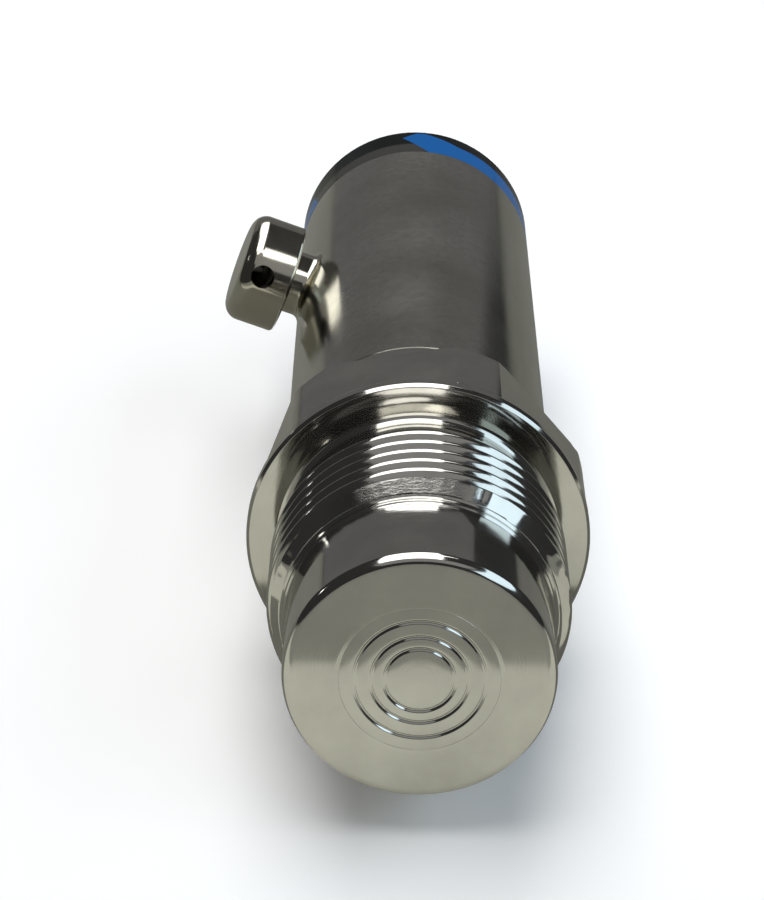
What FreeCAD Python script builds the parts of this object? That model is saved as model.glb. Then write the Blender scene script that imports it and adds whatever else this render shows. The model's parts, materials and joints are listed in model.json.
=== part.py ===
"""Compact pressure transmitter with a flush diaphragm, lying along +Y.

The sealing face of the diaphragm is the plane y = 0 and faces -Y.  The axis of the
device is the Y axis, the electrical plug points along +Y and +Z is up.  Lengths are
in millimetres and every "y" value is a distance behind the diaphragm face.
"""
import FreeCAD, Part
import math
import os

from FreeCAD import Vector

# ---------------------------------------------------------------- driving dimensions
# Process connection: nose, thread, flange, hexagon and neck are one turned piece.
NOSE_RADIUS = 14.45
NOSE_EDGE_RADIUS = 1.05
NOSE_LENGTH = 12.1
NOSE_ROOT_FILLET = 0.3
LEAD_LAND_RADIUS = 14.85          # plain land between the nose and the thread
LEAD_LAND_LENGTH = 1.1
THREAD_MAJOR_RADIUS = 16.6245     # G1 parallel pipe thread
THREAD_DEPTH = 1.479
THREAD_PITCH = 2.309
THREAD_FLANK_ANGLE = 27.5         # half of the 55 degree form
THREAD_LENGTH = 13.6
THREAD_LEAD_IN = 1.3              # length of the cone that starts the thread
THREAD_TOP_CREST = 20.83          # y of one crest, seen on the upper side
RELIEF_RADIUS = 15.1
RELIEF_LENGTH = 4.7
RELIEF_FILLET = 1.0
FLANGE_RADIUS = 19.55
FLANGE_RIM_LENGTH = 1.8
FLANGE_EDGE_CHAMFER = 0.35
HEX_ACROSS_FLATS = 36.0
HEX_CORNER_RADIUS = 19.45
HEX_LENGTH = 10.2
HEX_REAR_CHAMFER = 0.4
HEX_CLOCK_ANGLE = 40.0            # one flat faces this far above +X
NECK_LENGTH = 7.1
SPIGOT_LENGTH = 4.4
SPIGOT_WALL = 2.0
SEAM_CHAMFER = 0.15
CABLE_BORE_RADIUS = 7.6
ELECTRONICS_BORE_START = 36.0

# Sensor capsule, welded flush into the nose.
CAPSULE_RADIUS = 8.5
CAPSULE_LENGTH = 12.5
DIAPHRAGM_THICKNESS = 0.12
CORRUGATION_RADII = (3.7, 5.1, 6.9)
CORRUGATION_HALF_WIDTH = 0.32
CORRUGATION_HEIGHT = 0.14
CORRUGATION_BLEND = 0.15
BED_RADIUS = 7.9
BED_DEPTH = 0.45
OIL_PASSAGE_RADIUS = 1.0
CHAMBER_RADIUS = 5.2
CHAMBER_START = 5.0
FILLER_LENGTH = 1.7
FILLER_BORE_RADIUS = 1.8
HEADER_THICKNESS = 2.4
HEADER_GAP = 0.1                  # between the filler ring and the header
HEADER_PIN_RADIUS = 0.23
HEADER_PIN_CIRCLE = 3.4
HEADER_PIN_COUNT = 6
HEADER_PIN_FRONT = 0.7
HEADER_GLASS_RADIUS = 0.6
PEDESTAL_SIDE = 1.9
PEDESTAL_HEIGHT = 0.9
CHIP_SIDE = 1.7
CHIP_HEIGHT = 0.4
REFERENCE_TUBE_RADIUS = 0.5
REFERENCE_TUBE_WALL = 0.15
REFERENCE_TUBE_LENGTH = 9.0
FILL_PORT_CIRCLE = 6.9
FILL_PORT_RADIUS = 0.5
FILL_BALL_RADIUS = 0.8
FILL_SEAT_DEPTH = 2.2
SENSOR_BOARD_RADIUS = 6.6
SENSOR_BOARD_THICKNESS = 1.0
SENSOR_BOARD_GAP = 1.8            # behind the capsule
REFERENCE_TUBE_HOLE = 0.9

# Housing tube and the electronics inside it.
BODY_RADIUS = 15.7
TUBE_WALL = 1.2
TUBE_LENGTH = 67.0
FIT_CLEARANCE = 0.05
CARRIER_CLEARANCE = 0.1
CARRIER_FRONT_RING = 9.0
CARRIER_REAR_RING = 3.0
CARRIER_RING_WALL = 1.6
CARRIER_REAR_MARGIN = 1.0         # between the carrier and the end cap
RAIL_DEPTH = 2.6
RAIL_HALF_ANGLE = 12.0
RAIL_SLOT_DEPTH = 1.0
MAIN_BOARD_THICKNESS = 1.6
MAIN_BOARD_LENGTH = 44.0
MAIN_BOARD_MARGIN = 1.5           # from the front ring to the board
RIBBON_WIDTH = 6.0
RIBBON_THICKNESS = 0.25
RIBBON_BEND_RADIUS = 1.5
RIBBON_FOOT = 1.5                 # flat length on the sensor board
RIBBON_SLOT_END = 1.0             # of the socket left behind the ribbon's end
RIBBON_SOCKET = (2.2, 5.0, 9.0)   # height off the board, length, width
PROCESSOR = (1.2, 10.0, 10.0)
PROCESSOR_PLACE = (0.36, 0.0)     # share of the board's length, and up from its middle
INTERFACE_CHIP = (1.0, 6.0, 8.0)
INTERFACE_CHIP_PLACE = (0.635, -4.0)
INDUCTOR = (3.4, 6.0, 6.0)
INDUCTOR_PLACE = (0.625, 5.5)
CAPACITOR = (1.3, 1.6, 3.2)
CAPACITOR_PLACES = ((0.23, 8.5), (0.29, 8.5), (0.35, 8.5), (0.23, -8.5), (0.29, -8.5), (0.51, -8.5))
BARRIER_DIODE = (2.3, 4.6, 2.8)
BARRIER_DIODE_PLACES = ((0.41, -8.0), (0.77, 7.5), (0.77, -7.5))
GROUND_SPRING_WIDTH = 3.0
GROUND_SPRING_THICKNESS = 0.3
GROUND_SPRING_FOOT = 4.0
GROUND_SPRING_PLACE = 0.84        # share of the board's length
GROUND_SPRING_REST = 0.3          # from the wall that it presses on

# Pressure-compensation vent on the side of the housing.
VENT_Y = 93.9
VENT_ANGLE = 160.0                # from +X towards +Z
VENT_STEM_RADIUS = 4.1
VENT_STEM_INNER = 0.9             # how far it stands inside the tube
VENT_BORE_RADIUS = 1.2
VENT_CAP_RADIUS = 7.1
VENT_CAP_GAP = 2.25               # from the tube to the cap
VENT_CAP_LENGTH = 6.8
VENT_CAP_OUTER_ROUND = 2.0
VENT_CAP_INNER_ROUND = 0.4
VENT_CAP_ROOF = 1.2
VENT_HOLE_MARGIN = 0.15           # clear of the roof above it and of the membrane below it
VENT_HOLE_RADIUS = 1.5
VENT_HOLE_TILT = 16.0             # how far the side hole points up from -Y
VENT_MEMBRANE_RADIUS = 3.2
VENT_MEMBRANE_THICKNESS = 0.25
VENT_RING_WIDTH = 0.9
VENT_RING_GROOVE = 0.8
VENT_RING_HEIGHT = 0.7            # from the open end of the cap to the groove

# Rear end: label ring, end cap and a four-pole M12 plug.
LABEL_RING_LENGTH = 8.4
LABEL_RING_WALL = 2.2
LABEL_RING_EDGE = 0.8
CAP_INSERT_LENGTH = 8.0           # how far the end cap reaches into the tube
CAP_WALL = 3.0
CAP_REAR_WALL = 3.2
CAP_RECESS = 0.5                  # of its rear face behind the ring's edge
CAP_RING_SECTION = 1.5
CAP_RING_GROOVE = 1.2
CAP_RING_PLACE = 3.2
PLUG_THREAD_RADIUS = 6.0
PLUG_THREAD_LENGTH = 8.6
PLUG_UNDERCUT_RADIUS = 5.3
PLUG_UNDERCUT_LENGTH = 1.2
PLUG_FLANGE_RADIUS = 8.6
PLUG_FLANGE_LENGTH = 2.4
PLUG_SPIGOT_RADIUS = 6.4
PLUG_SPIGOT_LENGTH = 8.0
PLUG_BORE_RADIUS = 4.4
PLUG_SOCKET_DEPTH = 9.2
PLUG_KEY_WIDTH = 1.2
PLUG_KEY_HEIGHT = 0.7
PLUG_PIN_RADIUS = 0.5
PLUG_PIN_CIRCLE = 3.5
PLUG_PIN_RECESS = 1.2             # from the rim of the plug to the pin tips
PLUG_PIN_TAIL = 2.5
PLUG_SEAL_RADIUS = 7.5
PLUG_SEAL_SECTION = 1.0
PLUG_SEAL_GROOVE = 0.8
PLUG_NUT_ACROSS_FLATS = 16.0
PLUG_NUT_LENGTH = 3.0
LEAD_RADIUS = 0.55
LEAD_OVERLAP = 5.0                # length of a lead that lies on the board

# ---------------------------------------------------------------- derived places
THREAD_START = NOSE_LENGTH + LEAD_LAND_LENGTH
THREAD_END = THREAD_START + THREAD_LENGTH
THREAD_MINOR_RADIUS = THREAD_MAJOR_RADIUS - THREAD_DEPTH
FLANGE_FRONT = THREAD_END + RELIEF_LENGTH
HEX_FRONT = FLANGE_FRONT + FLANGE_RIM_LENGTH
HEX_REAR = HEX_FRONT + HEX_LENGTH
TUBE_FRONT = HEX_REAR + NECK_LENGTH
TUBE_REAR = TUBE_FRONT + TUBE_LENGTH
TUBE_BORE = BODY_RADIUS - TUBE_WALL
SPIGOT_RADIUS = TUBE_BORE
ELECTRONICS_BORE = SPIGOT_RADIUS - SPIGOT_WALL
HEADER_FRONT = CHAMBER_START + FILLER_LENGTH + HEADER_GAP
HEADER_REAR = HEADER_FRONT + HEADER_THICKNESS
SENSOR_BOARD_FRONT = CAPSULE_LENGTH + SENSOR_BOARD_GAP
SENSOR_BOARD_REAR = SENSOR_BOARD_FRONT + SENSOR_BOARD_THICKNESS
CARRIER_FRONT = TUBE_FRONT + SPIGOT_LENGTH - CARRIER_FRONT_RING
CARRIER_STEP = TUBE_FRONT + SPIGOT_LENGTH + CARRIER_CLEARANCE
CARRIER_REAR = TUBE_REAR - CAP_INSERT_LENGTH - CARRIER_REAR_MARGIN
RAIL_OUTER = TUBE_BORE - CARRIER_CLEARANCE
RAIL_INNER = RAIL_OUTER - RAIL_DEPTH
MAIN_BOARD_FRONT = CARRIER_STEP + MAIN_BOARD_MARGIN
MAIN_BOARD_REAR = MAIN_BOARD_FRONT + MAIN_BOARD_LENGTH
BOARD_FACE = MAIN_BOARD_THICKNESS / 2
BOARD_HALF_HEIGHT = RAIL_INNER + RAIL_SLOT_DEPTH
RING_REAR = TUBE_REAR + LABEL_RING_LENGTH
RING_BORE = BODY_RADIUS - LABEL_RING_WALL
CAP_REAR = RING_REAR - CAP_RECESS
PLUG_FLANGE_REAR = CAP_REAR + PLUG_FLANGE_LENGTH
PLUG_RIM = PLUG_FLANGE_REAR + PLUG_UNDERCUT_LENGTH + PLUG_THREAD_LENGTH
PLUG_FRONT = CAP_REAR - PLUG_SPIGOT_LENGTH
PLUG_FLOOR = PLUG_RIM - PLUG_SOCKET_DEPTH
VENT_CAP_INNER = BODY_RADIUS + VENT_CAP_GAP
VENT_CAP_OUTER = VENT_CAP_INNER + VENT_CAP_LENGTH
VENT_ROOM_TOP = VENT_CAP_OUTER - VENT_CAP_ROOF
VENT_HOLE_HEIGHT = VENT_ROOM_TOP - VENT_HOLE_MARGIN - VENT_HOLE_RADIUS
VENT_STEM_TOP = VENT_HOLE_HEIGHT - VENT_HOLE_RADIUS - VENT_HOLE_MARGIN - VENT_MEMBRANE_THICKNESS

AXIS = Vector(0, 1, 0)
ORIGIN = Vector(0, 0, 0)


# ---------------------------------------------------------------- shape helpers
def rounded_wire(corners, place):
    """Closed wire through 2-D corners (a, b) or (a, b, blend radius); place maps (a, b) to space."""
    count = len(corners)
    starts, middles, ends = [], [], []
    for index, corner in enumerate(corners):
        here = Vector(corner[0], corner[1], 0)
        radius = corner[2] if len(corner) > 2 else 0.0
        if radius <= 0:
            starts.append(here)
            middles.append(None)
            ends.append(here)
            continue
        before = Vector(*corners[index - 1][:2], 0) - here
        after = Vector(*corners[(index + 1) % count][:2], 0) - here
        before.normalize()
        after.normalize()
        half = before.getAngle(after) / 2
        bisector = before + after
        bisector.normalize()
        reach = radius / math.tan(half)
        starts.append(here + before * reach)
        middles.append(here + bisector * (radius / math.sin(half) - radius))
        ends.append(here + after * reach)
    edges = []
    for index in range(count):
        if middles[index] is not None:
            points = [place(p.x, p.y) for p in (starts[index], middles[index], ends[index])]
            edges.append(Part.Arc(*points).toShape())
        run_start = place(ends[index].x, ends[index].y)
        following = starts[(index + 1) % count]
        run_end = place(following.x, following.y)
        if run_start.distanceToPoint(run_end) > 1e-7:
            edges.append(Part.LineSegment(run_start, run_end).toShape())
    return Part.Wire(edges)


def turned(corners, centre=ORIGIN, axis=AXIS):
    """Solid of revolution; each corner is (radius, distance along the axis[, blend radius])."""
    side = Vector(0, 0, 1).cross(axis)
    side.normalize()
    profile = Part.Face(rounded_wire(corners, lambda r, h: centre + side * r + axis * h))
    return profile.revolve(centre, axis, 360)


def rod(radius, start, end, x=0.0, z=0.0):
    """Cylinder along Y."""
    return Part.makeCylinder(radius, end - start, Vector(x, start, z), AXIS)


def ring(outer, inner, start, end):
    """Plain sleeve about the device axis."""
    return rod(outer, start, end).cut(rod(inner, start - 1, end + 1))


def block(x_range, y_range, z_range):
    """Box between the given limits."""
    return Part.makeBox(x_range[1] - x_range[0], y_range[1] - y_range[0], z_range[1] - z_range[0],
                        Vector(x_range[0], y_range[0], z_range[0]))


def torus_ring(section, middle_radius, centre, axis):
    """O-ring with a round section."""
    return Part.makeTorus(middle_radius, section / 2, centre, axis)


def hexagon(across_flats, start, end, clock):
    """Hexagonal prism along Y with one flat facing the clock angle above +X."""
    corner = across_flats / 2 / math.cos(math.radians(30))
    points = []
    for side in range(7):
        angle = math.radians(clock + 30 + 60 * side)
        points.append(Vector(corner * math.cos(angle), start, corner * math.sin(angle)))
    return Part.Face(Part.makePolygon(points)).extrude(AXIS * (end - start))


def on_circle(radius, angle):
    """x and z of a point on a circle about the axis, the angle from +X towards +Z."""
    return radius * math.cos(math.radians(angle)), radius * math.sin(math.radians(angle))


# ---------------------------------------------------------------- process connection
def thread_ridge():
    """One helical ridge of the pipe thread, trimmed to the thread's length and lead-in cone."""
    crest_half = THREAD_PITCH / 12
    base = THREAD_MINOR_RADIUS - 0.3
    flank = math.tan(math.radians(THREAD_FLANK_ANGLE))
    base_half = crest_half + (THREAD_MAJOR_RADIUS - base) * flank
    crest_blend = 0.1 * THREAD_PITCH
    turns = math.ceil(THREAD_LENGTH / THREAD_PITCH) + 2
    first = THREAD_TOP_CREST - 0.75 * THREAD_PITCH
    first -= THREAD_PITCH * math.ceil((first - THREAD_START) / THREAD_PITCH + 0.5)
    corners = [(base, -base_half), (THREAD_MAJOR_RADIUS, -crest_half, crest_blend),
               (THREAD_MAJOR_RADIUS, crest_half, crest_blend), (base, base_half)]
    profile = rounded_wire(corners, lambda r, h: Vector(r, 0, h))
    helix = Part.makeHelix(THREAD_PITCH, turns * THREAD_PITCH, THREAD_MINOR_RADIUS)
    ridge = Part.Wire(helix).makePipeShell([profile], True, True)
    ridge.rotate(ORIGIN, Vector(1, 0, 0), -90)
    ridge.translate(Vector(0, first, 0))
    lead_top = THREAD_MAJOR_RADIUS + 0.2
    lead = THREAD_LEAD_IN * (lead_top - THREAD_MINOR_RADIUS) / THREAD_DEPTH
    envelope = turned([
        (base - 0.2, THREAD_START), (THREAD_MINOR_RADIUS, THREAD_START),
        (lead_top, THREAD_START + lead), (lead_top, THREAD_END - lead / 2),
        (THREAD_MINOR_RADIUS, THREAD_END), (base - 0.2, THREAD_END)])
    return ridge.common(envelope)


def process_connection():
    """Nose, pipe thread, flange, wrench hexagon and neck, bored through for the capsule."""
    blank = turned([
        (0, 0), (NOSE_RADIUS, 0, NOSE_EDGE_RADIUS),
        (NOSE_RADIUS, NOSE_LENGTH, NOSE_ROOT_FILLET),
        (LEAD_LAND_RADIUS, NOSE_LENGTH + LEAD_LAND_RADIUS - NOSE_RADIUS),
        (LEAD_LAND_RADIUS, THREAD_START - (THREAD_MINOR_RADIUS - LEAD_LAND_RADIUS)),
        (THREAD_MINOR_RADIUS, THREAD_START),
        (THREAD_MINOR_RADIUS, THREAD_END),
        (RELIEF_RADIUS, THREAD_END),
        (RELIEF_RADIUS, FLANGE_FRONT, RELIEF_FILLET),
        (FLANGE_RADIUS - FLANGE_EDGE_CHAMFER, FLANGE_FRONT),
        (FLANGE_RADIUS, FLANGE_FRONT + FLANGE_EDGE_CHAMFER),
        (FLANGE_RADIUS, HEX_FRONT),
        (HEX_CORNER_RADIUS, HEX_FRONT),
        (HEX_CORNER_RADIUS, HEX_REAR - HEX_REAR_CHAMFER),
        (HEX_CORNER_RADIUS - HEX_REAR_CHAMFER, HEX_REAR),
        (BODY_RADIUS, HEX_REAR),
        (BODY_RADIUS, TUBE_FRONT - SEAM_CHAMFER),
        (BODY_RADIUS - SEAM_CHAMFER, TUBE_FRONT),
        (SPIGOT_RADIUS, TUBE_FRONT),
        (SPIGOT_RADIUS, TUBE_FRONT + SPIGOT_LENGTH),
        (0, TUBE_FRONT + SPIGOT_LENGTH)])
    collar = ring(FLANGE_RADIUS + 1, BODY_RADIUS - 0.01, HEX_FRONT, HEX_REAR)
    flats = collar.cut(hexagon(HEX_ACROSS_FLATS, HEX_FRONT - 1, HEX_REAR + 1, HEX_CLOCK_ANGLE))
    body = blank.cut(flats).fuse(thread_ridge())
    bores = rod(CAPSULE_RADIUS, -1, CAPSULE_LENGTH)
    bores = bores.fuse(rod(CABLE_BORE_RADIUS, CAPSULE_LENGTH - 1, ELECTRONICS_BORE_START + 1))
    bores = bores.fuse(rod(ELECTRONICS_BORE, ELECTRONICS_BORE_START, TUBE_FRONT + SPIGOT_LENGTH + 1))
    return body.cut(bores)


# ---------------------------------------------------------------- sensor capsule
def isolating_diaphragm():
    """Thin foil with three round corrugations, flush with the nose."""
    front, back = [], []
    for radius in CORRUGATION_RADII:
        front += [(radius - CORRUGATION_HALF_WIDTH, 0), (radius, CORRUGATION_HEIGHT, CORRUGATION_BLEND),
                  (radius + CORRUGATION_HALF_WIDTH, 0)]
    for corner in reversed(front):
        back.append((corner[0], corner[1] + DIAPHRAGM_THICKNESS) + corner[2:])
    corners = [(0, 0)] + front + [(CAPSULE_RADIUS, 0), (CAPSULE_RADIUS, DIAPHRAGM_THICKNESS)]
    return turned(corners + back + [(0, DIAPHRAGM_THICKNESS)])


def sensor_body():
    """Steel capsule behind the foil, with the oil passage, the chamber and the fill port."""
    body = rod(CAPSULE_RADIUS, DIAPHRAGM_THICKNESS, CAPSULE_LENGTH)
    body = body.cut(rod(BED_RADIUS, 0, DIAPHRAGM_THICKNESS + BED_DEPTH))
    body = body.cut(rod(OIL_PASSAGE_RADIUS, 0, CHAMBER_START + 1))
    body = body.cut(rod(CHAMBER_RADIUS, CHAMBER_START, CAPSULE_LENGTH + 1))
    x, z = on_circle(FILL_PORT_CIRCLE, 0)
    body = body.cut(rod(FILL_PORT_RADIUS, 0, CAPSULE_LENGTH + 1, x, z))
    return body.cut(rod(FILL_BALL_RADIUS, CAPSULE_LENGTH - FILL_SEAT_DEPTH, CAPSULE_LENGTH + 1, x, z))


def fill_ball():
    """Steel ball that closes the oil fill port, on the edge of the narrow hole."""
    x, z = on_circle(FILL_PORT_CIRCLE, 0)
    stand = math.sqrt(FILL_BALL_RADIUS ** 2 - FILL_PORT_RADIUS ** 2)
    return Part.makeSphere(FILL_BALL_RADIUS, Vector(x, CAPSULE_LENGTH - FILL_SEAT_DEPTH + stand, z))


def header_pin_places():
    """Places of the header pins around the chip."""
    step = 360 / HEADER_PIN_COUNT
    return [on_circle(HEADER_PIN_CIRCLE, step * (k + 0.5)) for k in range(HEADER_PIN_COUNT)]


def sensor_pieces():
    """The pieces in the oil chamber and the small board behind it."""
    filler = ring(CHAMBER_RADIUS, FILLER_BORE_RADIUS, CHAMBER_START, CHAMBER_START + FILLER_LENGTH)
    header = rod(CHAMBER_RADIUS, HEADER_FRONT, HEADER_REAR)
    board = rod(SENSOR_BOARD_RADIUS, SENSOR_BOARD_FRONT, SENSOR_BOARD_REAR)
    pins, glass = [], []
    for x, z in header_pin_places():
        pin = rod(HEADER_PIN_RADIUS, HEADER_FRONT - HEADER_PIN_FRONT, SENSOR_BOARD_REAR, x, z)
        pins.append(pin)
        glass.append(rod(HEADER_GLASS_RADIUS, HEADER_FRONT, HEADER_REAR, x, z).cut(pin))
        header = header.cut(rod(HEADER_GLASS_RADIUS, HEADER_FRONT - 1, HEADER_REAR + 1, x, z))
        filler = filler.cut(rod(HEADER_GLASS_RADIUS, CHAMBER_START + FILLER_LENGTH - HEADER_PIN_FRONT,
                                CHAMBER_START + FILLER_LENGTH + 1, x, z))
        board = board.cut(rod(HEADER_PIN_RADIUS, SENSOR_BOARD_FRONT - 1, SENSOR_BOARD_REAR + 1, x, z))
    tube_end = HEADER_REAR + REFERENCE_TUBE_LENGTH
    header = header.cut(rod(REFERENCE_TUBE_RADIUS, HEADER_FRONT - 1, HEADER_REAR + 1))
    board = board.cut(rod(REFERENCE_TUBE_HOLE, SENSOR_BOARD_FRONT - 1, SENSOR_BOARD_REAR + 1))
    tube = ring(REFERENCE_TUBE_RADIUS, REFERENCE_TUBE_RADIUS - REFERENCE_TUBE_WALL, HEADER_FRONT, tube_end)
    half = PEDESTAL_SIDE / 2
    pedestal_front = HEADER_FRONT - PEDESTAL_HEIGHT
    pedestal = block((-half, half), (pedestal_front, HEADER_FRONT), (-half, half))
    half = CHIP_SIDE / 2
    chip = block((-half, half), (pedestal_front - CHIP_HEIGHT, pedestal_front), (-half, half))
    return {
        "filler_ring": filler,
        "sensor_header": header,
        "header_glass": Part.makeCompound(glass),
        "header_pins": Part.makeCompound(pins),
        "reference_tube": tube,
        "chip_pedestal": pedestal,
        "pressure_chip": chip,
        "sensor_board": board,
    }


# ---------------------------------------------------------------- housing and electronics
def vent_direction():
    """Unit vector along the vent, out of the housing."""
    x, z = on_circle(1, VENT_ANGLE)
    return Vector(x, 0, z)


def vent_rod(radius, start, end):
    """Cylinder along the vent's own axis, measured from the device axis."""
    direction = vent_direction()
    return Part.makeCylinder(radius, end - start, Vector(0, VENT_Y, 0) + direction * start, direction)


def housing_tube():
    """Plain drawn tube with the hole for the vent stem."""
    tube = turned([
        (TUBE_BORE, TUBE_FRONT), (BODY_RADIUS - SEAM_CHAMFER, TUBE_FRONT),
        (BODY_RADIUS, TUBE_FRONT + SEAM_CHAMFER), (BODY_RADIUS, TUBE_REAR), (TUBE_BORE, TUBE_REAR)])
    return tube.cut(vent_rod(VENT_STEM_RADIUS, TUBE_BORE / 2, VENT_CAP_INNER))


def rail_sector(start, end):
    """The part of the tube's inner space that one board rail fills, above the axis."""
    sleeve = ring(RAIL_OUTER, RAIL_INNER, start, end)
    reach = RAIL_OUTER + 1
    spread = reach * math.tan(math.radians(RAIL_HALF_ANGLE))
    wedge = Part.Face(Part.makePolygon([
        Vector(0, start, 0), Vector(spread, start, reach), Vector(-spread, start, reach),
        Vector(0, start, 0)])).extrude(AXIS * (end - start))
    return sleeve.common(wedge)


def board_carrier():
    """Moulded frame: a front ring in the neck, two slotted rails and a rear ring."""
    front_outer = ELECTRONICS_BORE - CARRIER_CLEARANCE
    frame = ring(front_outer, front_outer - CARRIER_RING_WALL, CARRIER_FRONT, CARRIER_STEP)
    step_end = CARRIER_STEP + MAIN_BOARD_MARGIN
    frame = frame.fuse(ring(RAIL_OUTER, front_outer - CARRIER_RING_WALL, CARRIER_STEP, step_end))
    frame = frame.fuse(ring(RAIL_OUTER, RAIL_INNER, CARRIER_REAR - CARRIER_REAR_RING, CARRIER_REAR))
    rail = rail_sector(CARRIER_STEP, CARRIER_REAR)
    frame = frame.fuse(rail)
    frame = frame.fuse(rail.rotated(ORIGIN, AXIS, 180))
    slot_half = BOARD_FACE + CARRIER_CLEARANCE / 2
    slot = block((-slot_half, slot_half), (step_end, CARRIER_REAR + 1),
                 (-BOARD_HALF_HEIGHT - CARRIER_CLEARANCE, BOARD_HALF_HEIGHT + CARRIER_CLEARANCE))
    return frame.cut(slot)


def on_board(size, place, side=1):
    """Component on the board; size is (height, length, width), place is (share of length, up)."""
    height, length, width = size
    along = MAIN_BOARD_FRONT + place[0] * MAIN_BOARD_LENGTH
    x_range = (BOARD_FACE, BOARD_FACE + height) if side > 0 else (-BOARD_FACE - height, -BOARD_FACE)
    y_range = (along - length / 2, along + length / 2)
    return block(x_range, y_range, (place[1] - width / 2, place[1] + width / 2))


def main_board_parts():
    """Main board with what is soldered to it."""
    board = block((-BOARD_FACE, BOARD_FACE), (MAIN_BOARD_FRONT, MAIN_BOARD_REAR),
                  (-BOARD_HALF_HEIGHT, BOARD_HALF_HEIGHT))
    socket = on_board(RIBBON_SOCKET, (RIBBON_SOCKET[1] / 2 / MAIN_BOARD_LENGTH, 0))
    slot_x = BOARD_FACE + RIBBON_SOCKET[0] / 2
    slot_end = MAIN_BOARD_FRONT + RIBBON_SOCKET[1] - RIBBON_SLOT_END
    slot = block((slot_x, slot_x + RIBBON_THICKNESS), (MAIN_BOARD_FRONT - 1, slot_end),
                 (-RIBBON_WIDTH / 2, RIBBON_WIDTH / 2))
    return {
        "main_board": board,
        "ribbon_socket": socket.cut(slot),
        "processor_chip": on_board(PROCESSOR, PROCESSOR_PLACE),
        "interface_chip": on_board(INTERFACE_CHIP, INTERFACE_CHIP_PLACE),
        "power_inductor": on_board(INDUCTOR, INDUCTOR_PLACE),
        "board_capacitors": Part.makeCompound([on_board(CAPACITOR, p) for p in CAPACITOR_PLACES]),
        "barrier_diodes": Part.makeCompound([on_board(BARRIER_DIODE, p, -1) for p in BARRIER_DIODE_PLACES]),
    }


def sensor_ribbon():
    """Flat flexible cable from the back of the sensor board to the socket on the main board."""
    slot_x = BOARD_FACE + RIBBON_SOCKET[0] / 2
    rise = SENSOR_BOARD_REAR + RIBBON_THICKNESS
    foot = slot_x + RIBBON_THICKNESS + RIBBON_BEND_RADIUS + RIBBON_FOOT
    end = MAIN_BOARD_FRONT + RIBBON_SOCKET[1] - RIBBON_SLOT_END
    bend = RIBBON_BEND_RADIUS
    corners = [
        (foot, SENSOR_BOARD_REAR), (foot, rise),
        (slot_x + RIBBON_THICKNESS, rise, bend), (slot_x + RIBBON_THICKNESS, end),
        (slot_x, end), (slot_x, SENSOR_BOARD_REAR, bend + RIBBON_THICKNESS)]
    face = Part.Face(rounded_wire(corners, lambda x, y: Vector(x, y, -RIBBON_WIDTH / 2)))
    return face.extrude(Vector(0, 0, RIBBON_WIDTH))


def ground_spring():
    """Bent strip from the board to just short of the tube wall, which it presses on in use."""
    start = MAIN_BOARD_FRONT + GROUND_SPRING_PLACE * MAIN_BOARD_LENGTH
    tip = math.sqrt(TUBE_BORE ** 2 - (GROUND_SPRING_WIDTH / 2) ** 2) - GROUND_SPRING_REST
    thick = GROUND_SPRING_THICKNESS
    corners = [
        (BOARD_FACE, start), (BOARD_FACE, start - GROUND_SPRING_FOOT),
        (BOARD_FACE + thick, start - GROUND_SPRING_FOOT), (BOARD_FACE + thick, start - thick),
        (tip - thick, start - thick), (tip - thick, start - GROUND_SPRING_FOOT),
        (tip, start - GROUND_SPRING_FOOT), (tip, start)]
    face = Part.Face(rounded_wire(corners, lambda x, y: Vector(x, y, -GROUND_SPRING_WIDTH / 2)))
    return face.extrude(Vector(0, 0, GROUND_SPRING_WIDTH))


# ---------------------------------------------------------------- vent
def vent_pieces():
    """Stem welded into the tube, breathable membrane, seal ring and the cap with its side hole."""
    direction = vent_direction()
    foot = Vector(0, VENT_Y, 0)
    groove_start = VENT_CAP_INNER + VENT_RING_HEIGHT
    groove_radius = VENT_STEM_RADIUS - VENT_RING_GROOVE
    stem = vent_rod(VENT_STEM_RADIUS, TUBE_BORE - VENT_STEM_INNER, VENT_STEM_TOP)
    stem = stem.cut(vent_rod(VENT_BORE_RADIUS, 0, VENT_STEM_TOP + 1))
    groove = vent_rod(VENT_STEM_RADIUS + 1, groove_start, groove_start + VENT_RING_WIDTH)
    stem = stem.cut(groove.cut(vent_rod(groove_radius, groove_start - 1, groove_start + VENT_RING_WIDTH + 1)))
    ring_section = min(VENT_RING_GROOVE, VENT_RING_WIDTH) - FIT_CLEARANCE
    seal = torus_ring(ring_section, groove_radius + ring_section / 2,
                      foot + direction * (groove_start + VENT_RING_WIDTH / 2), direction)
    membrane = vent_rod(VENT_MEMBRANE_RADIUS, VENT_STEM_TOP, VENT_STEM_TOP + VENT_MEMBRANE_THICKNESS)
    cap = turned([
        (VENT_STEM_RADIUS, VENT_CAP_INNER), (VENT_CAP_RADIUS, VENT_CAP_INNER, VENT_CAP_INNER_ROUND),
        (VENT_CAP_RADIUS, VENT_CAP_OUTER, VENT_CAP_OUTER_ROUND), (0, VENT_CAP_OUTER),
        (0, VENT_ROOM_TOP), (VENT_STEM_RADIUS, VENT_ROOM_TOP)], foot, direction)
    tilt = math.radians(VENT_HOLE_TILT)
    up_slope = Vector(0, 1, 0).cross(direction) * -1
    if up_slope.z < 0:
        up_slope = up_slope * -1
    hole_axis = AXIS * -math.cos(tilt) + up_slope * math.sin(tilt)    # from the chamber out to -Y
    hole_middle = foot + direction * VENT_HOLE_HEIGHT
    reach = VENT_CAP_RADIUS + 1
    hole = Part.makeCylinder(VENT_HOLE_RADIUS, reach, hole_middle, hole_axis)
    return {"vent_stem": stem, "vent_membrane": membrane, "vent_o_ring": seal, "vent_cap": cap.cut(hole)}


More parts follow.
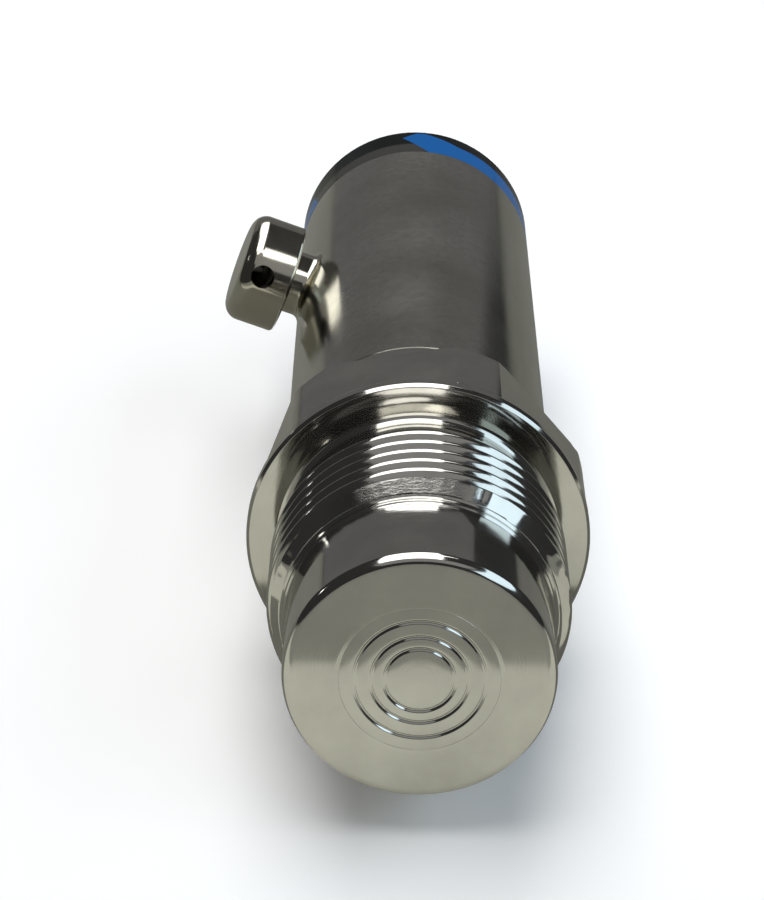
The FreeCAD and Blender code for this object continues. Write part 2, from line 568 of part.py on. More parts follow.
# ---------------------------------------------------------------- rear end
def label_ring():
    """Coloured plastic ring between the tube and the rear face."""
    return turned([
        (RING_BORE, TUBE_REAR), (BODY_RADIUS, TUBE_REAR), (BODY_RADIUS, RING_REAR, LABEL_RING_EDGE),
        (RING_BORE, RING_REAR)])


def end_cap():
    """Cup that closes the tube, carries the label ring and holds the plug in its rear wall."""
    insert_front = TUBE_REAR - CAP_INSERT_LENGTH
    insert_radius = TUBE_BORE - FIT_CLEARANCE
    groove = TUBE_REAR - CAP_RING_PLACE
    groove_width = CAP_RING_SECTION + 2 * FIT_CLEARANCE
    groove_radius = TUBE_BORE - CAP_RING_SECTION
    inner = insert_radius - CAP_WALL
    cup = turned([
        (inner, insert_front), (insert_radius, insert_front, 0.4),
        (insert_radius, TUBE_REAR), (RING_BORE, TUBE_REAR), (RING_BORE, CAP_REAR, 0.3), (0, CAP_REAR),
        (0, CAP_REAR - CAP_REAR_WALL), (inner, CAP_REAR - CAP_REAR_WALL, 0.8)])
    cup = cup.cut(ring(insert_radius + 1, groove_radius, groove - groove_width, groove))
    return cup.cut(rod(PLUG_SPIGOT_RADIUS, CAP_REAR - CAP_REAR_WALL - 1, CAP_REAR + 1))


def end_cap_o_ring():
    """Seal between the end cap and the tube."""
    middle = TUBE_REAR - CAP_RING_PLACE - CAP_RING_SECTION / 2 - FIT_CLEARANCE
    radius = TUBE_BORE - CAP_RING_SECTION / 2 - FIT_CLEARANCE / 2
    return torus_ring(CAP_RING_SECTION - FIT_CLEARANCE, radius, Vector(0, middle, 0), AXIS)


def plug_pin_places():
    """Four pins on the frame's own X and Z directions."""
    return [on_circle(PLUG_PIN_CIRCLE, 90 * k) for k in range(4)]


def plug_pieces():
    """M12 plug: threaded shell, insulating insert, pins, flange seal and lock nut."""
    shell = turned([
        (PLUG_BORE_RADIUS, PLUG_FRONT), (PLUG_SPIGOT_RADIUS, PLUG_FRONT, 0.3),
        (PLUG_SPIGOT_RADIUS, CAP_REAR), (PLUG_FLANGE_RADIUS, CAP_REAR),
        (PLUG_FLANGE_RADIUS, PLUG_FLANGE_REAR, 0.4),
        (PLUG_UNDERCUT_RADIUS, PLUG_FLANGE_REAR),
        (PLUG_UNDERCUT_RADIUS, PLUG_FLANGE_REAR + PLUG_UNDERCUT_LENGTH),
        (PLUG_THREAD_RADIUS, PLUG_FLANGE_REAR + PLUG_UNDERCUT_LENGTH, 0.2),
        (PLUG_THREAD_RADIUS, PLUG_RIM, 0.5), (PLUG_BORE_RADIUS, PLUG_RIM)])
    shell = shell.cut(ring(PLUG_SEAL_RADIUS + PLUG_SEAL_SECTION / 2, PLUG_SEAL_RADIUS - PLUG_SEAL_SECTION / 2,
                           CAP_REAR - 1, CAP_REAR + PLUG_SEAL_GROOVE))
    seal_section = PLUG_SEAL_GROOVE - FIT_CLEARANCE
    seal = torus_ring(seal_section, PLUG_SEAL_RADIUS, Vector(0, CAP_REAR + seal_section / 2, 0), AXIS)
    insert = rod(PLUG_BORE_RADIUS, PLUG_FRONT, PLUG_FLOOR)
    key = block((-PLUG_KEY_WIDTH / 2, PLUG_KEY_WIDTH / 2), (PLUG_FLOOR - 1, PLUG_RIM - PLUG_PIN_RECESS),
                (PLUG_BORE_RADIUS - PLUG_KEY_HEIGHT, PLUG_BORE_RADIUS))
    key = key.rotated(ORIGIN, AXIS, 45).common(rod(PLUG_BORE_RADIUS, PLUG_FLOOR - 1, PLUG_RIM))
    insert = insert.fuse(key)
    pins = []
    for x, z in plug_pin_places():
        tip = PLUG_RIM - PLUG_PIN_RECESS
        pin = rod(PLUG_PIN_RADIUS, PLUG_FRONT - PLUG_PIN_TAIL, tip - PLUG_PIN_RADIUS, x, z)
        pin = pin.fuse(Part.makeSphere(PLUG_PIN_RADIUS, Vector(x, tip - PLUG_PIN_RADIUS, z)))
        pins.append(pin.removeSplitter())
        insert = insert.cut(rod(PLUG_PIN_RADIUS, PLUG_FRONT - 1, PLUG_FLOOR + 1, x, z))
    nut_rear = CAP_REAR - CAP_REAR_WALL
    nut = hexagon(PLUG_NUT_ACROSS_FLATS, nut_rear - PLUG_NUT_LENGTH, nut_rear, 0)
    nut = nut.cut(rod(PLUG_SPIGOT_RADIUS, nut_rear - PLUG_NUT_LENGTH - 1, nut_rear + 1))
    return {
        "plug_shell": shell,
        "plug_insert": insert,
        "plug_pins": Part.makeCompound(pins),
        "plug_seal": seal,
        "plug_lock_nut": nut,
    }


def bent_lead(points):
    """Insulated wire through the points: straight runs with ball-shaped bends."""
    lead = None
    for start, end in zip(points, points[1:]):
        run = end - start
        piece = Part.makeCylinder(LEAD_RADIUS, run.Length, start, run)
        lead = piece if lead is None else lead.fuse(piece)
    for point in points[1:-1]:
        lead = lead.fuse(Part.makeSphere(LEAD_RADIUS, point))
    return lead.removeSplitter()


def connector_leads():
    """Four leads from the tails of the plug's pins to the end of the main board."""
    tail = PLUG_FRONT - PLUG_PIN_TAIL
    pad_x = BOARD_FACE + LEAD_RADIUS
    leads = []
    for x, z in plug_pin_places():
        side = -1 if x < -1 else 1
        bend = (tail + MAIN_BOARD_REAR) / 2
        leads.append(bent_lead([
            Vector(x, tail, z), Vector(x, bend + 1, z),
            Vector(side * pad_x, MAIN_BOARD_REAR + LEAD_RADIUS, z),
            Vector(side * pad_x, MAIN_BOARD_REAR - LEAD_OVERLAP, z)]))
    return Part.makeCompound(leads)


def main():
    os.makedirs("parts", exist_ok=True)
    nodes = {
        "process_connection": process_connection(),
        "isolating_diaphragm": isolating_diaphragm(),
        "sensor_body": sensor_body(),
        "fill_ball": fill_ball(),
        "housing_tube": housing_tube(),
        "board_carrier": board_carrier(),
        "sensor_ribbon": sensor_ribbon(),
        "ground_spring": ground_spring(),
        "label_ring": label_ring(),
        "end_cap": end_cap(),
        "end_cap_o_ring": end_cap_o_ring(),
        "connector_leads": connector_leads(),
    }
    nodes.update(sensor_pieces())
    nodes.update(main_board_parts())
    nodes.update(vent_pieces())
    nodes.update(plug_pieces())
    for name, shape in sorted(nodes.items()):
        shape.exportStep(f"parts/{name}.step")
        print(f"{name:22s} solids {len(shape.Solids):2d}  volume {shape.Volume:9.2f}  valid {shape.isValid()}")


main()
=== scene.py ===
"""Dressing for a compact pressure transmitter with a flush diaphragm.

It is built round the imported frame.  The device lies along +Y with its sealing face on y = 0.
Turned pieces are outlines of (radius, distance along the axis) carried round an axis; threads
are the same outlines with rows that climb one pitch in each turn.  Lengths are written in
millimetres times MM.
"""
import json
import math

import bmesh
import bpy
import numpy as np
from mathutils import Matrix, Vector


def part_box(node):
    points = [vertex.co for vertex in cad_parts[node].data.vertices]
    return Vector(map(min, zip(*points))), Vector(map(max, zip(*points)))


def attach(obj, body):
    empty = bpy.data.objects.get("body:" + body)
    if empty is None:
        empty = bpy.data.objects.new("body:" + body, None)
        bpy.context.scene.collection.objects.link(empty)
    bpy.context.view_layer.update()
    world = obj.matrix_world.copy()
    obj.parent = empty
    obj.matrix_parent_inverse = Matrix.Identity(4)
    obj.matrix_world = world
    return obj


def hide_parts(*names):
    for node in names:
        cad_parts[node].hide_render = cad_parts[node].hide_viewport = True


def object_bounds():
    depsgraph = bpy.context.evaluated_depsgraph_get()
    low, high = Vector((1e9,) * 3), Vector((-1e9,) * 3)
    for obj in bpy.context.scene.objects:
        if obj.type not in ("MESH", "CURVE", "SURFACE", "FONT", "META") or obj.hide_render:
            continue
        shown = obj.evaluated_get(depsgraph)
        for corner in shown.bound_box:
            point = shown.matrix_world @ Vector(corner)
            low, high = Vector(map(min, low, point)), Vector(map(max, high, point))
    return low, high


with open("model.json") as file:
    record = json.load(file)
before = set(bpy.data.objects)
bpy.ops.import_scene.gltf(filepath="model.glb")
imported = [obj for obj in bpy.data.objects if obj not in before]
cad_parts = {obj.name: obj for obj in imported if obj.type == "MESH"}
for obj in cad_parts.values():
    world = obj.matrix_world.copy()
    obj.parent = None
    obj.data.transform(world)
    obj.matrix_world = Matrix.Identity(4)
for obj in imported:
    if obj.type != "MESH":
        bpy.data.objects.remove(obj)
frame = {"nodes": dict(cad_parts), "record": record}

MM = 0.001
FRAME_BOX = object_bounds()


def low(node):
    """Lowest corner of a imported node, in metres."""
    return np.array(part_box(node)[0])


def high(node):
    """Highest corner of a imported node, in metres."""
    return np.array(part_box(node)[1])


# ---------------------------------------------------------------- sizes
# Process connection.  The thread's rounds are in pitches, its lead-in and run-out are cones,
# and its crest is at THREAD_TOP_CREST on top.  HEX_CLOCK turns the first flat from +X.
NOSE_RADIUS = 14.45 * MM
NOSE_EDGE = 1.05 * MM
NOSE_LENGTH = 12.1 * MM
NOSE_FLARE = 0.14 * MM
NOSE_FLARE_LENGTH = 1.6 * MM
NOSE_FLARE_BLEND = 32 * MM
LAND_RADIUS = 14.85 * MM
LAND_LENGTH = 1.1 * MM
THREAD_RADIUS = 16.6245 * MM
THREAD_DEPTH = 1.479 * MM
THREAD_PITCH = 2.309 * MM
THREAD_LENGTH = 13.6 * MM
THREAD_LEAD_IN = 1.3 * MM
THREAD_TOP_CREST = 21.05 * MM
THREAD_FLANK = math.radians(27.5)
THREAD_CREST_ROUND = 0.225
THREAD_ROOT_ROUND = 0.12
THREAD_ROWS_A_PITCH = 18
THREAD_RAGGED = 0.03 * MM
THREAD_RAGGED_REACH = 0.5 * MM
RELIEF_RADIUS = 15.1 * MM
RELIEF_LENGTH = 4.7 * MM
RELIEF_FILLET = 1.0 * MM
FLANGE_RADIUS = 19.55 * MM
FLANGE_LENGTH = 1.8 * MM
FLANGE_CHAMFER = 0.35 * MM
HEX_APOTHEM = 18.0 * MM
HEX_CORNER = 19.45 * MM
HEX_LENGTH = 10.2 * MM
HEX_CHAMFER = 0.4 * MM
HEX_CLOCK = math.radians(40.0)
BODY_RADIUS = 15.7 * MM
SEAM_CHAMFER = 0.15 * MM
EDGE_BREAK = 0.12 * MM
TUBE_WALL = 1.2 * MM
SPIGOT_LENGTH = 4.4 * MM
SPIGOT_WALL = 2.0 * MM
CAPSULE_RADIUS = 8.5 * MM
CAPSULE_DEPTH = 12.5 * MM
CABLE_BORE = 7.6 * MM
ELECTRONICS_BORE_START = 36.0 * MM

# Diaphragm.  The corrugations are given by the radii of their middles.
DIAPHRAGM_THICKNESS = 0.12 * MM
CORRUGATIONS = (3.7 * MM, 5.1 * MM, 6.9 * MM)
CORRUGATION_HALF = 0.32 * MM
CORRUGATION_HEIGHT = 0.16 * MM
JOINT_DIP = 0.022 * MM
JOINT_WIDTH = 0.45 * MM
FOIL_CLEARANCE = 0.01 * MM
FOIL_INNER_ROWS = (0.0, 1.0 * MM, 2.4 * MM)
FOIL_OUTER_ROW = 7.6 * MM

# Vent.  Heights are distances from the device axis; the groove is (start, end, depth).
VENT_PLACE = 93.9 * MM
VENT_ANGLE = math.radians(160.0)
VENT_STEM = 4.1 * MM
VENT_STEM_BORE = 1.2 * MM
VENT_STEM_SINK = 0.9 * MM
VENT_STEM_GROOVE = (18.65 * MM, 19.55 * MM, 0.8 * MM)
VENT_CAP_RADIUS = 7.1 * MM
VENT_CAP_START = 17.95 * MM
VENT_CAP_END = 24.75 * MM
VENT_CAP_OUTER_ROUND = 2.0 * MM
VENT_CAP_INNER_ROUND = 0.4 * MM
VENT_ROOM_TOP = 23.55 * MM
VENT_HOLE = 1.5 * MM
VENT_HOLE_HEIGHT = 21.9 * MM
VENT_HOLE_TILT = math.radians(16.0)
VENT_WELD = 0.8 * MM
VENT_WELD_SINK = 0.3 * MM
VENT_WELD_RIPPLES = 30
VENT_WELD_UNEVEN = 0.05

# Rear end.  The cap's groove and the plug's seal are (near edge, far edge, depth).
RING_BORE = 13.5 * MM
RING_EDGE = 0.8 * MM
CAP_REAR_WALL = 3.2 * MM
CAP_INSERT = 8.0 * MM
CAP_WALL = 3.0 * MM
CAP_GROOVE = (3.2 * MM, 4.8 * MM, 1.5 * MM)
FIT = 0.05 * MM
PLUG_SPIGOT = 6.4 * MM
PLUG_FLANGE = 8.6 * MM
PLUG_FLANGE_LENGTH = 2.4 * MM
PLUG_UNDERCUT = 5.3 * MM
PLUG_UNDERCUT_LENGTH = 1.2 * MM
PLUG_THREAD_RADIUS = 6.0 * MM
PLUG_THREAD_PITCH = 1.0 * MM
PLUG_THREAD_FLANK = math.radians(30)
PLUG_THREAD_ROUND = 0.11
PLUG_ROWS_A_PITCH = 10
PLUG_THREAD_LEAD = 1.2
PLUG_BORE = 4.4 * MM
PLUG_SEAL = (7.0 * MM, 8.0 * MM, 0.8 * MM)
PIN_RADIUS = 0.5 * MM
PIN_CIRCLE = 3.5 * MM

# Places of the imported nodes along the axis, and places worked out from the sizes.
FACE_Y = low("isolating_diaphragm")[1]
TUBE_FRONT = low("housing_tube")[1]
TUBE_REAR = high("housing_tube")[1]
RING_REAR = high("label_ring")[1]
CAP_REAR = high("end_cap")[1]
PLUG_RIM = high("plug_shell")[1]
PLUG_FRONT = low("plug_shell")[1]
PIN_FRONT = low("plug_pins")[1]
PIN_TIP = high("plug_pins")[1]
FLOOR_Z = FRAME_BOX[0][2]

THREAD_START = NOSE_LENGTH + LAND_LENGTH
THREAD_END = THREAD_START + THREAD_LENGTH
THREAD_ROOT = THREAD_RADIUS - THREAD_DEPTH
FLANGE_FRONT = THREAD_END + RELIEF_LENGTH
HEX_FRONT = FLANGE_FRONT + FLANGE_LENGTH
HEX_REAR = HEX_FRONT + HEX_LENGTH
TUBE_BORE = BODY_RADIUS - TUBE_WALL
VENT_STEM_TOP = VENT_HOLE_HEIGHT - VENT_HOLE - 0.4 * MM
FULL_TURN = 2 * math.pi

# Axes as rows: side, other side, and the axis that a piece is turned about.
DEVICE_AXIS = np.array([[1.0, 0.0, 0.0], [0.0, 0.0, 1.0], [0.0, 1.0, 0.0]])
VENT_OUT = np.array([math.cos(VENT_ANGLE), 0.0, math.sin(VENT_ANGLE)])
VENT_AXIS = np.array([[0.0, 1.0, 0.0], np.cross(VENT_OUT, [0.0, 1.0, 0.0]), VENT_OUT])
VENT_FOOT = np.array([0.0, VENT_PLACE, 0.0])


# ---------------------------------------------------------------- outlines and turned surfaces
# Points closer than WELD_REACH, in metres, become one.  The columns are points round an axis.
EDGE_GUARD = 0.04 * MM
WELD_REACH = 2e-6
MAIN_COLUMNS = 288
BODY_COLUMNS = 320
REAR_COLUMNS = 256
PLUG_COLUMNS = 192
WELD_COLUMNS = 160
STEM_COLUMNS = 128
DRILL_COLUMNS = 96
PIN_COLUMNS = 40
HEX_EDGE_GUARD = 0.004


def eased_outline(corners, steps=6):
    """Closed outline with its corners eased.

    Each corner is (radius, along) or (radius, along, blend).  A blend is an arc tangent to
    both sides.  Long straight runs get a point at EDGE_GUARD from each end, which keeps a
    flat flat.
    """
    points = []
    count = len(corners)
    for index, corner in enumerate(corners):
        here = np.array(corner[:2])
        blend = corner[2] if len(corner) > 2 else 0.0
        if blend <= 0:
            points.append(here)
            continue
        back = np.array(corners[index - 1][:2]) - here
        ahead = np.array(corners[(index + 1) % count][:2]) - here
        back = back / np.linalg.norm(back)
        ahead = ahead / np.linalg.norm(ahead)
        half = math.acos(np.clip(back @ ahead, -1, 1)) / 2
        bisector = (back + ahead) / np.linalg.norm(back + ahead)
        centre = here + bisector * blend / math.sin(half)
        first = here + back * blend / math.tan(half) - centre
        turn = math.pi - 2 * half
        sign = 1 if first[1] * back[0] - first[0] * back[1] > 0 else -1
        angles = sign * np.linspace(0, turn, steps + 1)
        cosines, sines = np.cos(angles), np.sin(angles)
        points += list(centre + np.stack([
            first[0] * cosines - first[1] * sines,
            first[0] * sines + first[1] * cosines], axis=1))
    points = np.array(points)
    ahead = np.roll(points, -1, axis=0) - points
    length = np.linalg.norm(ahead, axis=1)
    guarded = []
    for point, step, run in zip(points, ahead, length):
        guarded.append(point)
        if run > 6 * EDGE_GUARD:
            guarded.append(point + step * EDGE_GUARD / run)
            guarded.append(point + step * (1 - EDGE_GUARD / run))
    return np.array(guarded)


def level_rows(outline, columns):
    """Radii and distances along the axis of an outline that is the same at every column."""
    return np.repeat(outline[:, :1], columns, axis=1), np.repeat(outline[:, 1:], columns, axis=1)


def turn_rows(radius, along, angles, axes=DEVICE_AXIS, foot=(0.0, 0.0, 0.0)):
    """Points foot + side * r cos(a) + other side * r sin(a) + axis * y, as rows by columns."""
    across = radius[..., None] * (
        np.cos(angles)[None, :, None] * axes[0] + np.sin(angles)[None, :, None] * axes[1])
    return np.array(foot) + across + along[..., None] * axes[2]


def grid_mesh(points, closed_rows=True, closed_columns=True):
    """Vertices and quads of a grid of points; its rows and its columns may close."""
    rows, columns = points.shape[:2]
    index = np.arange(rows * columns).reshape(rows, columns)
    if closed_rows:
        index = np.vstack([index, index[:1]])
    if closed_columns:
        index = np.hstack([index, index[:, :1]])
    quads = np.stack([index[:-1, :-1], index[:-1, 1:], index[1:, 1:], index[1:, :-1]], axis=-1)
    return points.reshape(-1, 3), quads.reshape(-1, 4)


def make_piece(name, grids, material, sharp=30.0):
    """Mesh object from grids of (vertices, quads), welded, with its faces turned outwards.

    Edges that turn by more than sharp degrees are shaded sharp.
    """
    vertices, faces, offset = [], [], 0
    for points, quads in grids:
        vertices.append(points)
        faces.append(quads + offset)
        offset += len(points)
    mesh = bpy.data.meshes.new(name)
    mesh.from_pydata(np.vstack(vertices).tolist(), [], np.vstack(faces).tolist())
    work = bmesh.new()
    work.from_mesh(mesh)
    bmesh.ops.remove_doubles(work, verts=work.verts, dist=WELD_REACH)
    bmesh.ops.dissolve_degenerate(work, edges=work.edges, dist=WELD_REACH / 10)
    bmesh.ops.recalc_face_normals(work, faces=work.faces)
    work.to_mesh(mesh)
    work.free()
    mesh.shade_smooth()
    mesh.set_sharp_from_angle(angle=math.radians(sharp))
    mesh.materials.append(material)
    piece = bpy.data.objects.new(name, mesh)
    bpy.context.scene.collection.objects.link(piece)
    return piece


def turned_grid(corners, columns, axes=DEVICE_AXIS, foot=(0.0, 0.0, 0.0), steps=6):
    """Grid of a closed outline carried round an axis."""
    angles = np.linspace(0, FULL_TURN, columns, endpoint=False)
    radius, along = level_rows(eased_outline(corners, steps), columns)
    return grid_mesh(turn_rows(radius, along, angles, axes, foot))


# ---------------------------------------------------------------- threads
def thread_form(phase, pitch, crest_radius, flank, crest_round, root_round):
    """Radius of a rounded V thread at a phase in pitches, 0 on a crest.

    The crest is an arc of crest_round * pitch and the root one of root_round * pitch.
    Straight flanks at the flank angle from the radial direction are tangent to both.
    """
    away = np.abs((phase + 0.5) % 1.0 - 0.5) * pitch
    crest, root = crest_round * pitch, root_round * pitch
    crest_reach, root_reach = crest * math.cos(flank), root * math.cos(flank)
    tangent = crest_radius - crest * (1 - math.sin(flank))
    on_crest = crest_radius - crest + np.sqrt(np.maximum(crest ** 2 - away ** 2, 0))
    on_flank = tangent - (away - crest_reach) / math.tan(flank)
    deepest = tangent - (pitch / 2 - root_reach - crest_reach) / math.tan(flank)
    deepest = deepest - root * (1 - math.sin(flank))
    beside = pitch / 2 - away
    on_root = deepest + root - np.sqrt(np.maximum(root ** 2 - beside ** 2, 0))
    radius = np.where(away < crest_reach, on_crest, on_flank)
    return np.where(beside < root_reach, on_root, radius)


def thread_rows(start, end, pitch, angles, crest_place, per_pitch):
    """Distances along the axis of rows that climb one pitch a turn, and their phase in pitches.

    The rows are held between start and end.  One crest is at crest_place at angle 0.
    """
    count = int(math.ceil((end - start) / pitch * per_pitch)) + 2 * per_pitch + 1
    begin = crest_place + math.floor((start - crest_place) / pitch) * pitch
    steps = begin + np.arange(count) * pitch / per_pitch
    climb = -pitch * angles / FULL_TURN
    along = np.clip(steps[:, None] + climb[None, :], start, end)
    return along, (along - (crest_place + climb)[None, :]) / pitch


# ---------------------------------------------------------------- process connection
def connection_outlines():
    """Outlines of the connection: before its thread, behind it, over the hexagon, and inside.

    Each is eased as a closed outline, and the points that only closed it are then left out.
    """
    front = eased_outline([
        (CAPSULE_RADIUS, DIAPHRAGM_THICKNESS * 3), (CAPSULE_RADIUS, JOINT_DIP, 0.01 * MM),
        (CAPSULE_RADIUS + JOINT_WIDTH, 0), (NOSE_RADIUS, 0, NOSE_EDGE),
        (NOSE_RADIUS, NOSE_LENGTH - NOSE_FLARE_LENGTH, NOSE_FLARE_BLEND),
        (NOSE_RADIUS + NOSE_FLARE, NOSE_LENGTH, 0.2 * MM),
        (LAND_RADIUS, NOSE_LENGTH + LAND_RADIUS - NOSE_RADIUS - NOSE_FLARE, 0.1 * MM),
        (LAND_RADIUS, THREAD_START - (THREAD_ROOT - LAND_RADIUS), 0.08 * MM),
        (THREAD_ROOT, THREAD_START), (CAPSULE_RADIUS, THREAD_START)], steps=7)[1:-2]
    front[-1] = THREAD_ROOT, THREAD_START
    rear = eased_outline([
        (THREAD_ROOT - THREAD_DEPTH, THREAD_END), (RELIEF_RADIUS, THREAD_END),
        (RELIEF_RADIUS, FLANGE_FRONT, RELIEF_FILLET),
        (FLANGE_RADIUS - FLANGE_CHAMFER, FLANGE_FRONT, EDGE_BREAK),
        (FLANGE_RADIUS, FLANGE_FRONT + FLANGE_CHAMFER, EDGE_BREAK),
        (FLANGE_RADIUS, HEX_FRONT, EDGE_BREAK)], steps=5)[1:-2]
    hexagon = eased_outline([
        (BODY_RADIUS, HEX_FRONT), (HEX_CORNER, HEX_FRONT, 0.05 * MM),
        (HEX_CORNER, HEX_REAR - HEX_CHAMFER, EDGE_BREAK),
        (HEX_CORNER - HEX_CHAMFER, HEX_REAR, 0.08 * MM),
        (BODY_RADIUS, HEX_REAR)], steps=4)[1:-1]
    inner = eased_outline([
        (BODY_RADIUS, HEX_REAR, 0.25 * MM), (BODY_RADIUS, TUBE_FRONT - SEAM_CHAMFER, 0.05 * MM),
        (BODY_RADIUS - SEAM_CHAMFER, TUBE_FRONT), (TUBE_BORE, TUBE_FRONT),
        (TUBE_BORE, TUBE_FRONT + SPIGOT_LENGTH),
        (TUBE_BORE - SPIGOT_WALL, TUBE_FRONT + SPIGOT_LENGTH),
        (TUBE_BORE - SPIGOT_WALL, ELECTRONICS_BORE_START), (CABLE_BORE, ELECTRONICS_BORE_START),
        (CABLE_BORE, CAPSULE_DEPTH), (CAPSULE_RADIUS, CAPSULE_DEPTH),
        (CAPSULE_RADIUS, 1.0 * MM), (BODY_RADIUS + MM, HEX_REAR)], steps=4)[:-3]
    return front, rear, hexagon, inner


def process_connection(material):
    """One turned piece: nose, pipe thread, relief, flange, hexagon, neck and bores.

    The hexagon's radius is the smaller of its outline's and apothem / cos(angle from the
    nearest flat).  The thread's radius is the smallest of its form, a ragged lead-in cone
    and a run-out cone, and never less than its root.
    """
    front, rear, hexagon, inner = connection_outlines()
    corner_half = math.acos(HEX_APOTHEM / HEX_CORNER)
    flats = HEX_CLOCK + np.arange(6) * math.pi / 3
    edges = np.concatenate([flats - corner_half, flats + corner_half]) % FULL_TURN
    beside = np.concatenate([edges - HEX_EDGE_GUARD, edges + HEX_EDGE_GUARD]) % FULL_TURN
    angles = np.unique(np.concatenate([
        np.linspace(0, FULL_TURN, MAIN_COLUMNS, endpoint=False), edges, beside]))
    count = len(angles)
    from_flat = (angles - HEX_CLOCK + math.pi / 6) % (math.pi / 3) - math.pi / 6
    hex_radius, hex_along = level_rows(hexagon, count)
    hex_radius = np.minimum(hex_radius, HEX_APOTHEM / np.cos(from_flat)[None, :])

    turns = np.concatenate([angles, [FULL_TURN]])
    along, phase = thread_rows(THREAD_START, THREAD_END, THREAD_PITCH, turns,
                               THREAD_TOP_CREST + THREAD_PITCH / 4, THREAD_ROWS_A_PITCH)
    radius = thread_form(phase, THREAD_PITCH, THREAD_RADIUS, THREAD_FLANK,
                         THREAD_CREST_ROUND, THREAD_ROOT_ROUND)
    slope = THREAD_DEPTH / THREAD_LEAD_IN
    lead = THREAD_ROOT + (along - THREAD_START) * slope
    waver = np.sin(13 * turns + 1.3) * np.sin(29 * turns) + 0.6 * np.sin(53 * turns + 0.4)
    ragged = THREAD_RAGGED * waver
    lead = lead + ragged[None, :] * np.clip((along - THREAD_START) / THREAD_RAGGED_REACH, 0, 1)
    run_out = THREAD_ROOT + (THREAD_END - along) * slope * 2
    radius = np.minimum(np.minimum(radius, lead), run_out)
    radius = np.maximum(radius, THREAD_ROOT)

    thread = grid_mesh(turn_rows(radius, along, turns), closed_rows=False, closed_columns=False)
    outlines = [(radius[-1:, :-1], along[-1:, :-1]), level_rows(rear, count),
                (hex_radius, hex_along), level_rows(inner, count), level_rows(front, count)]
    radius, along = (np.vstack(rows) for rows in zip(*outlines))
    body = grid_mesh(turn_rows(radius, along, angles), closed_rows=False)
    return make_piece("process_connection_turned", [thread, body], material, sharp=20.0)


def isolating_diaphragm(material):
    """Thin foil with three round corrugations, each a raised cosine pressed inwards.

    Depth at distance d from a corrugation's middle is height * (1 + cos(pi d / half)) / 2.
    """
    edge = CAPSULE_RADIUS - FOIL_CLEARANCE
    waves = [middle + CORRUGATION_HALF * np.linspace(-1.02, 1.02, 25) for middle in CORRUGATIONS]
    joint = [edge - JOINT_WIDTH, edge - JOINT_WIDTH / 2, edge - FOIL_CLEARANCE, edge]
    radius = np.concatenate([FOIL_INNER_ROWS, *waves, [FOIL_OUTER_ROW], joint])
    depth = np.zeros_like(radius)
    for middle in CORRUGATIONS:
        away = np.clip(np.abs(radius - middle) / CORRUGATION_HALF, 0, 1)
        depth += CORRUGATION_HEIGHT * (1 + np.cos(math.pi * away)) / 2
    depth[-3:] += np.array([0.5, 1.0, 1.4]) * JOINT_DIP
    radius = np.concatenate([radius, radius[::-1]])
    depth = np.concatenate([depth, np.maximum(depth[::-1], 0) + DIAPHRAGM_THICKNESS * 0.9])
    angles = np.linspace(0, FULL_TURN, MAIN_COLUMNS, endpoint=False)
    rows = level_rows(np.stack([radius, depth + FACE_Y], axis=1), MAIN_COLUMNS)
    points = turn_rows(*rows, angles)
    return make_piece("isolating_diaphragm_foil", [grid_mesh(points)], material)


# ---------------------------------------------------------------- housing
def housing_tube(material):
    """Drawn tube with a broken edge at the seam and at its rear end."""
    grid = turned_grid([
        (TUBE_BORE, TUBE_FRONT), (BODY_RADIUS - SEAM_CHAMFER, TUBE_FRONT),
        (BODY_RADIUS, TUBE_FRONT + SEAM_CHAMFER / 3, 0.02 * MM),
        (BODY_RADIUS, TUBE_REAR, 0.1 * MM), (TUBE_BORE, TUBE_REAR)], BODY_COLUMNS)
    return make_piece("housing_tube_drawn", [grid], material)


def vent_stem(material):
    """Hollow stem with the groove for its seal, and a rippled weld round its foot.

    The weld stands on the tube, whose surface is sqrt(R^2 - (r sin a)^2) from the device
    axis; a is the angle about the vent's own axis, measured from the device axis.
    """
    foot = TUBE_BORE - VENT_STEM_SINK
    near, far, deep = VENT_STEM_GROOVE
    stem = turned_grid([
        (VENT_STEM_BORE, foot), (VENT_STEM, foot), (VENT_STEM, near), (VENT_STEM - deep, near),
        (VENT_STEM - deep, far), (VENT_STEM, far), (VENT_STEM, VENT_STEM_TOP, 0.2 * MM),
        (VENT_STEM_BORE, VENT_STEM_TOP)], STEM_COLUMNS, VENT_AXIS, VENT_FOOT)
    angles = np.linspace(0, FULL_TURN, WELD_COLUMNS, endpoint=False)
    sweep = np.linspace(0, math.pi / 2, 9)
    ripple = 1 + VENT_WELD_UNEVEN * np.sin(VENT_WELD_RIPPLES * angles)
    out = VENT_STEM + VENT_WELD * ripple[None, :] * (1 - np.sin(sweep))[:, None]
    lift = VENT_WELD * (1 - np.cos(sweep))[:, None]
    inside = np.full((2, WELD_COLUMNS), VENT_STEM - VENT_WELD_SINK)
    out = np.vstack([out, inside, out[:1]])
    lift = np.vstack([lift, lift[-1:], [[-VENT_WELD_SINK], [-VENT_WELD_SINK]]])
    on_tube = np.sqrt(BODY_RADIUS ** 2 - (out * np.sin(angles)[None, :]) ** 2)
    weld = grid_mesh(turn_rows(out, on_tube + lift, angles, VENT_AXIS, VENT_FOOT))
    return make_piece("vent_stem_welded", [stem, weld], material)


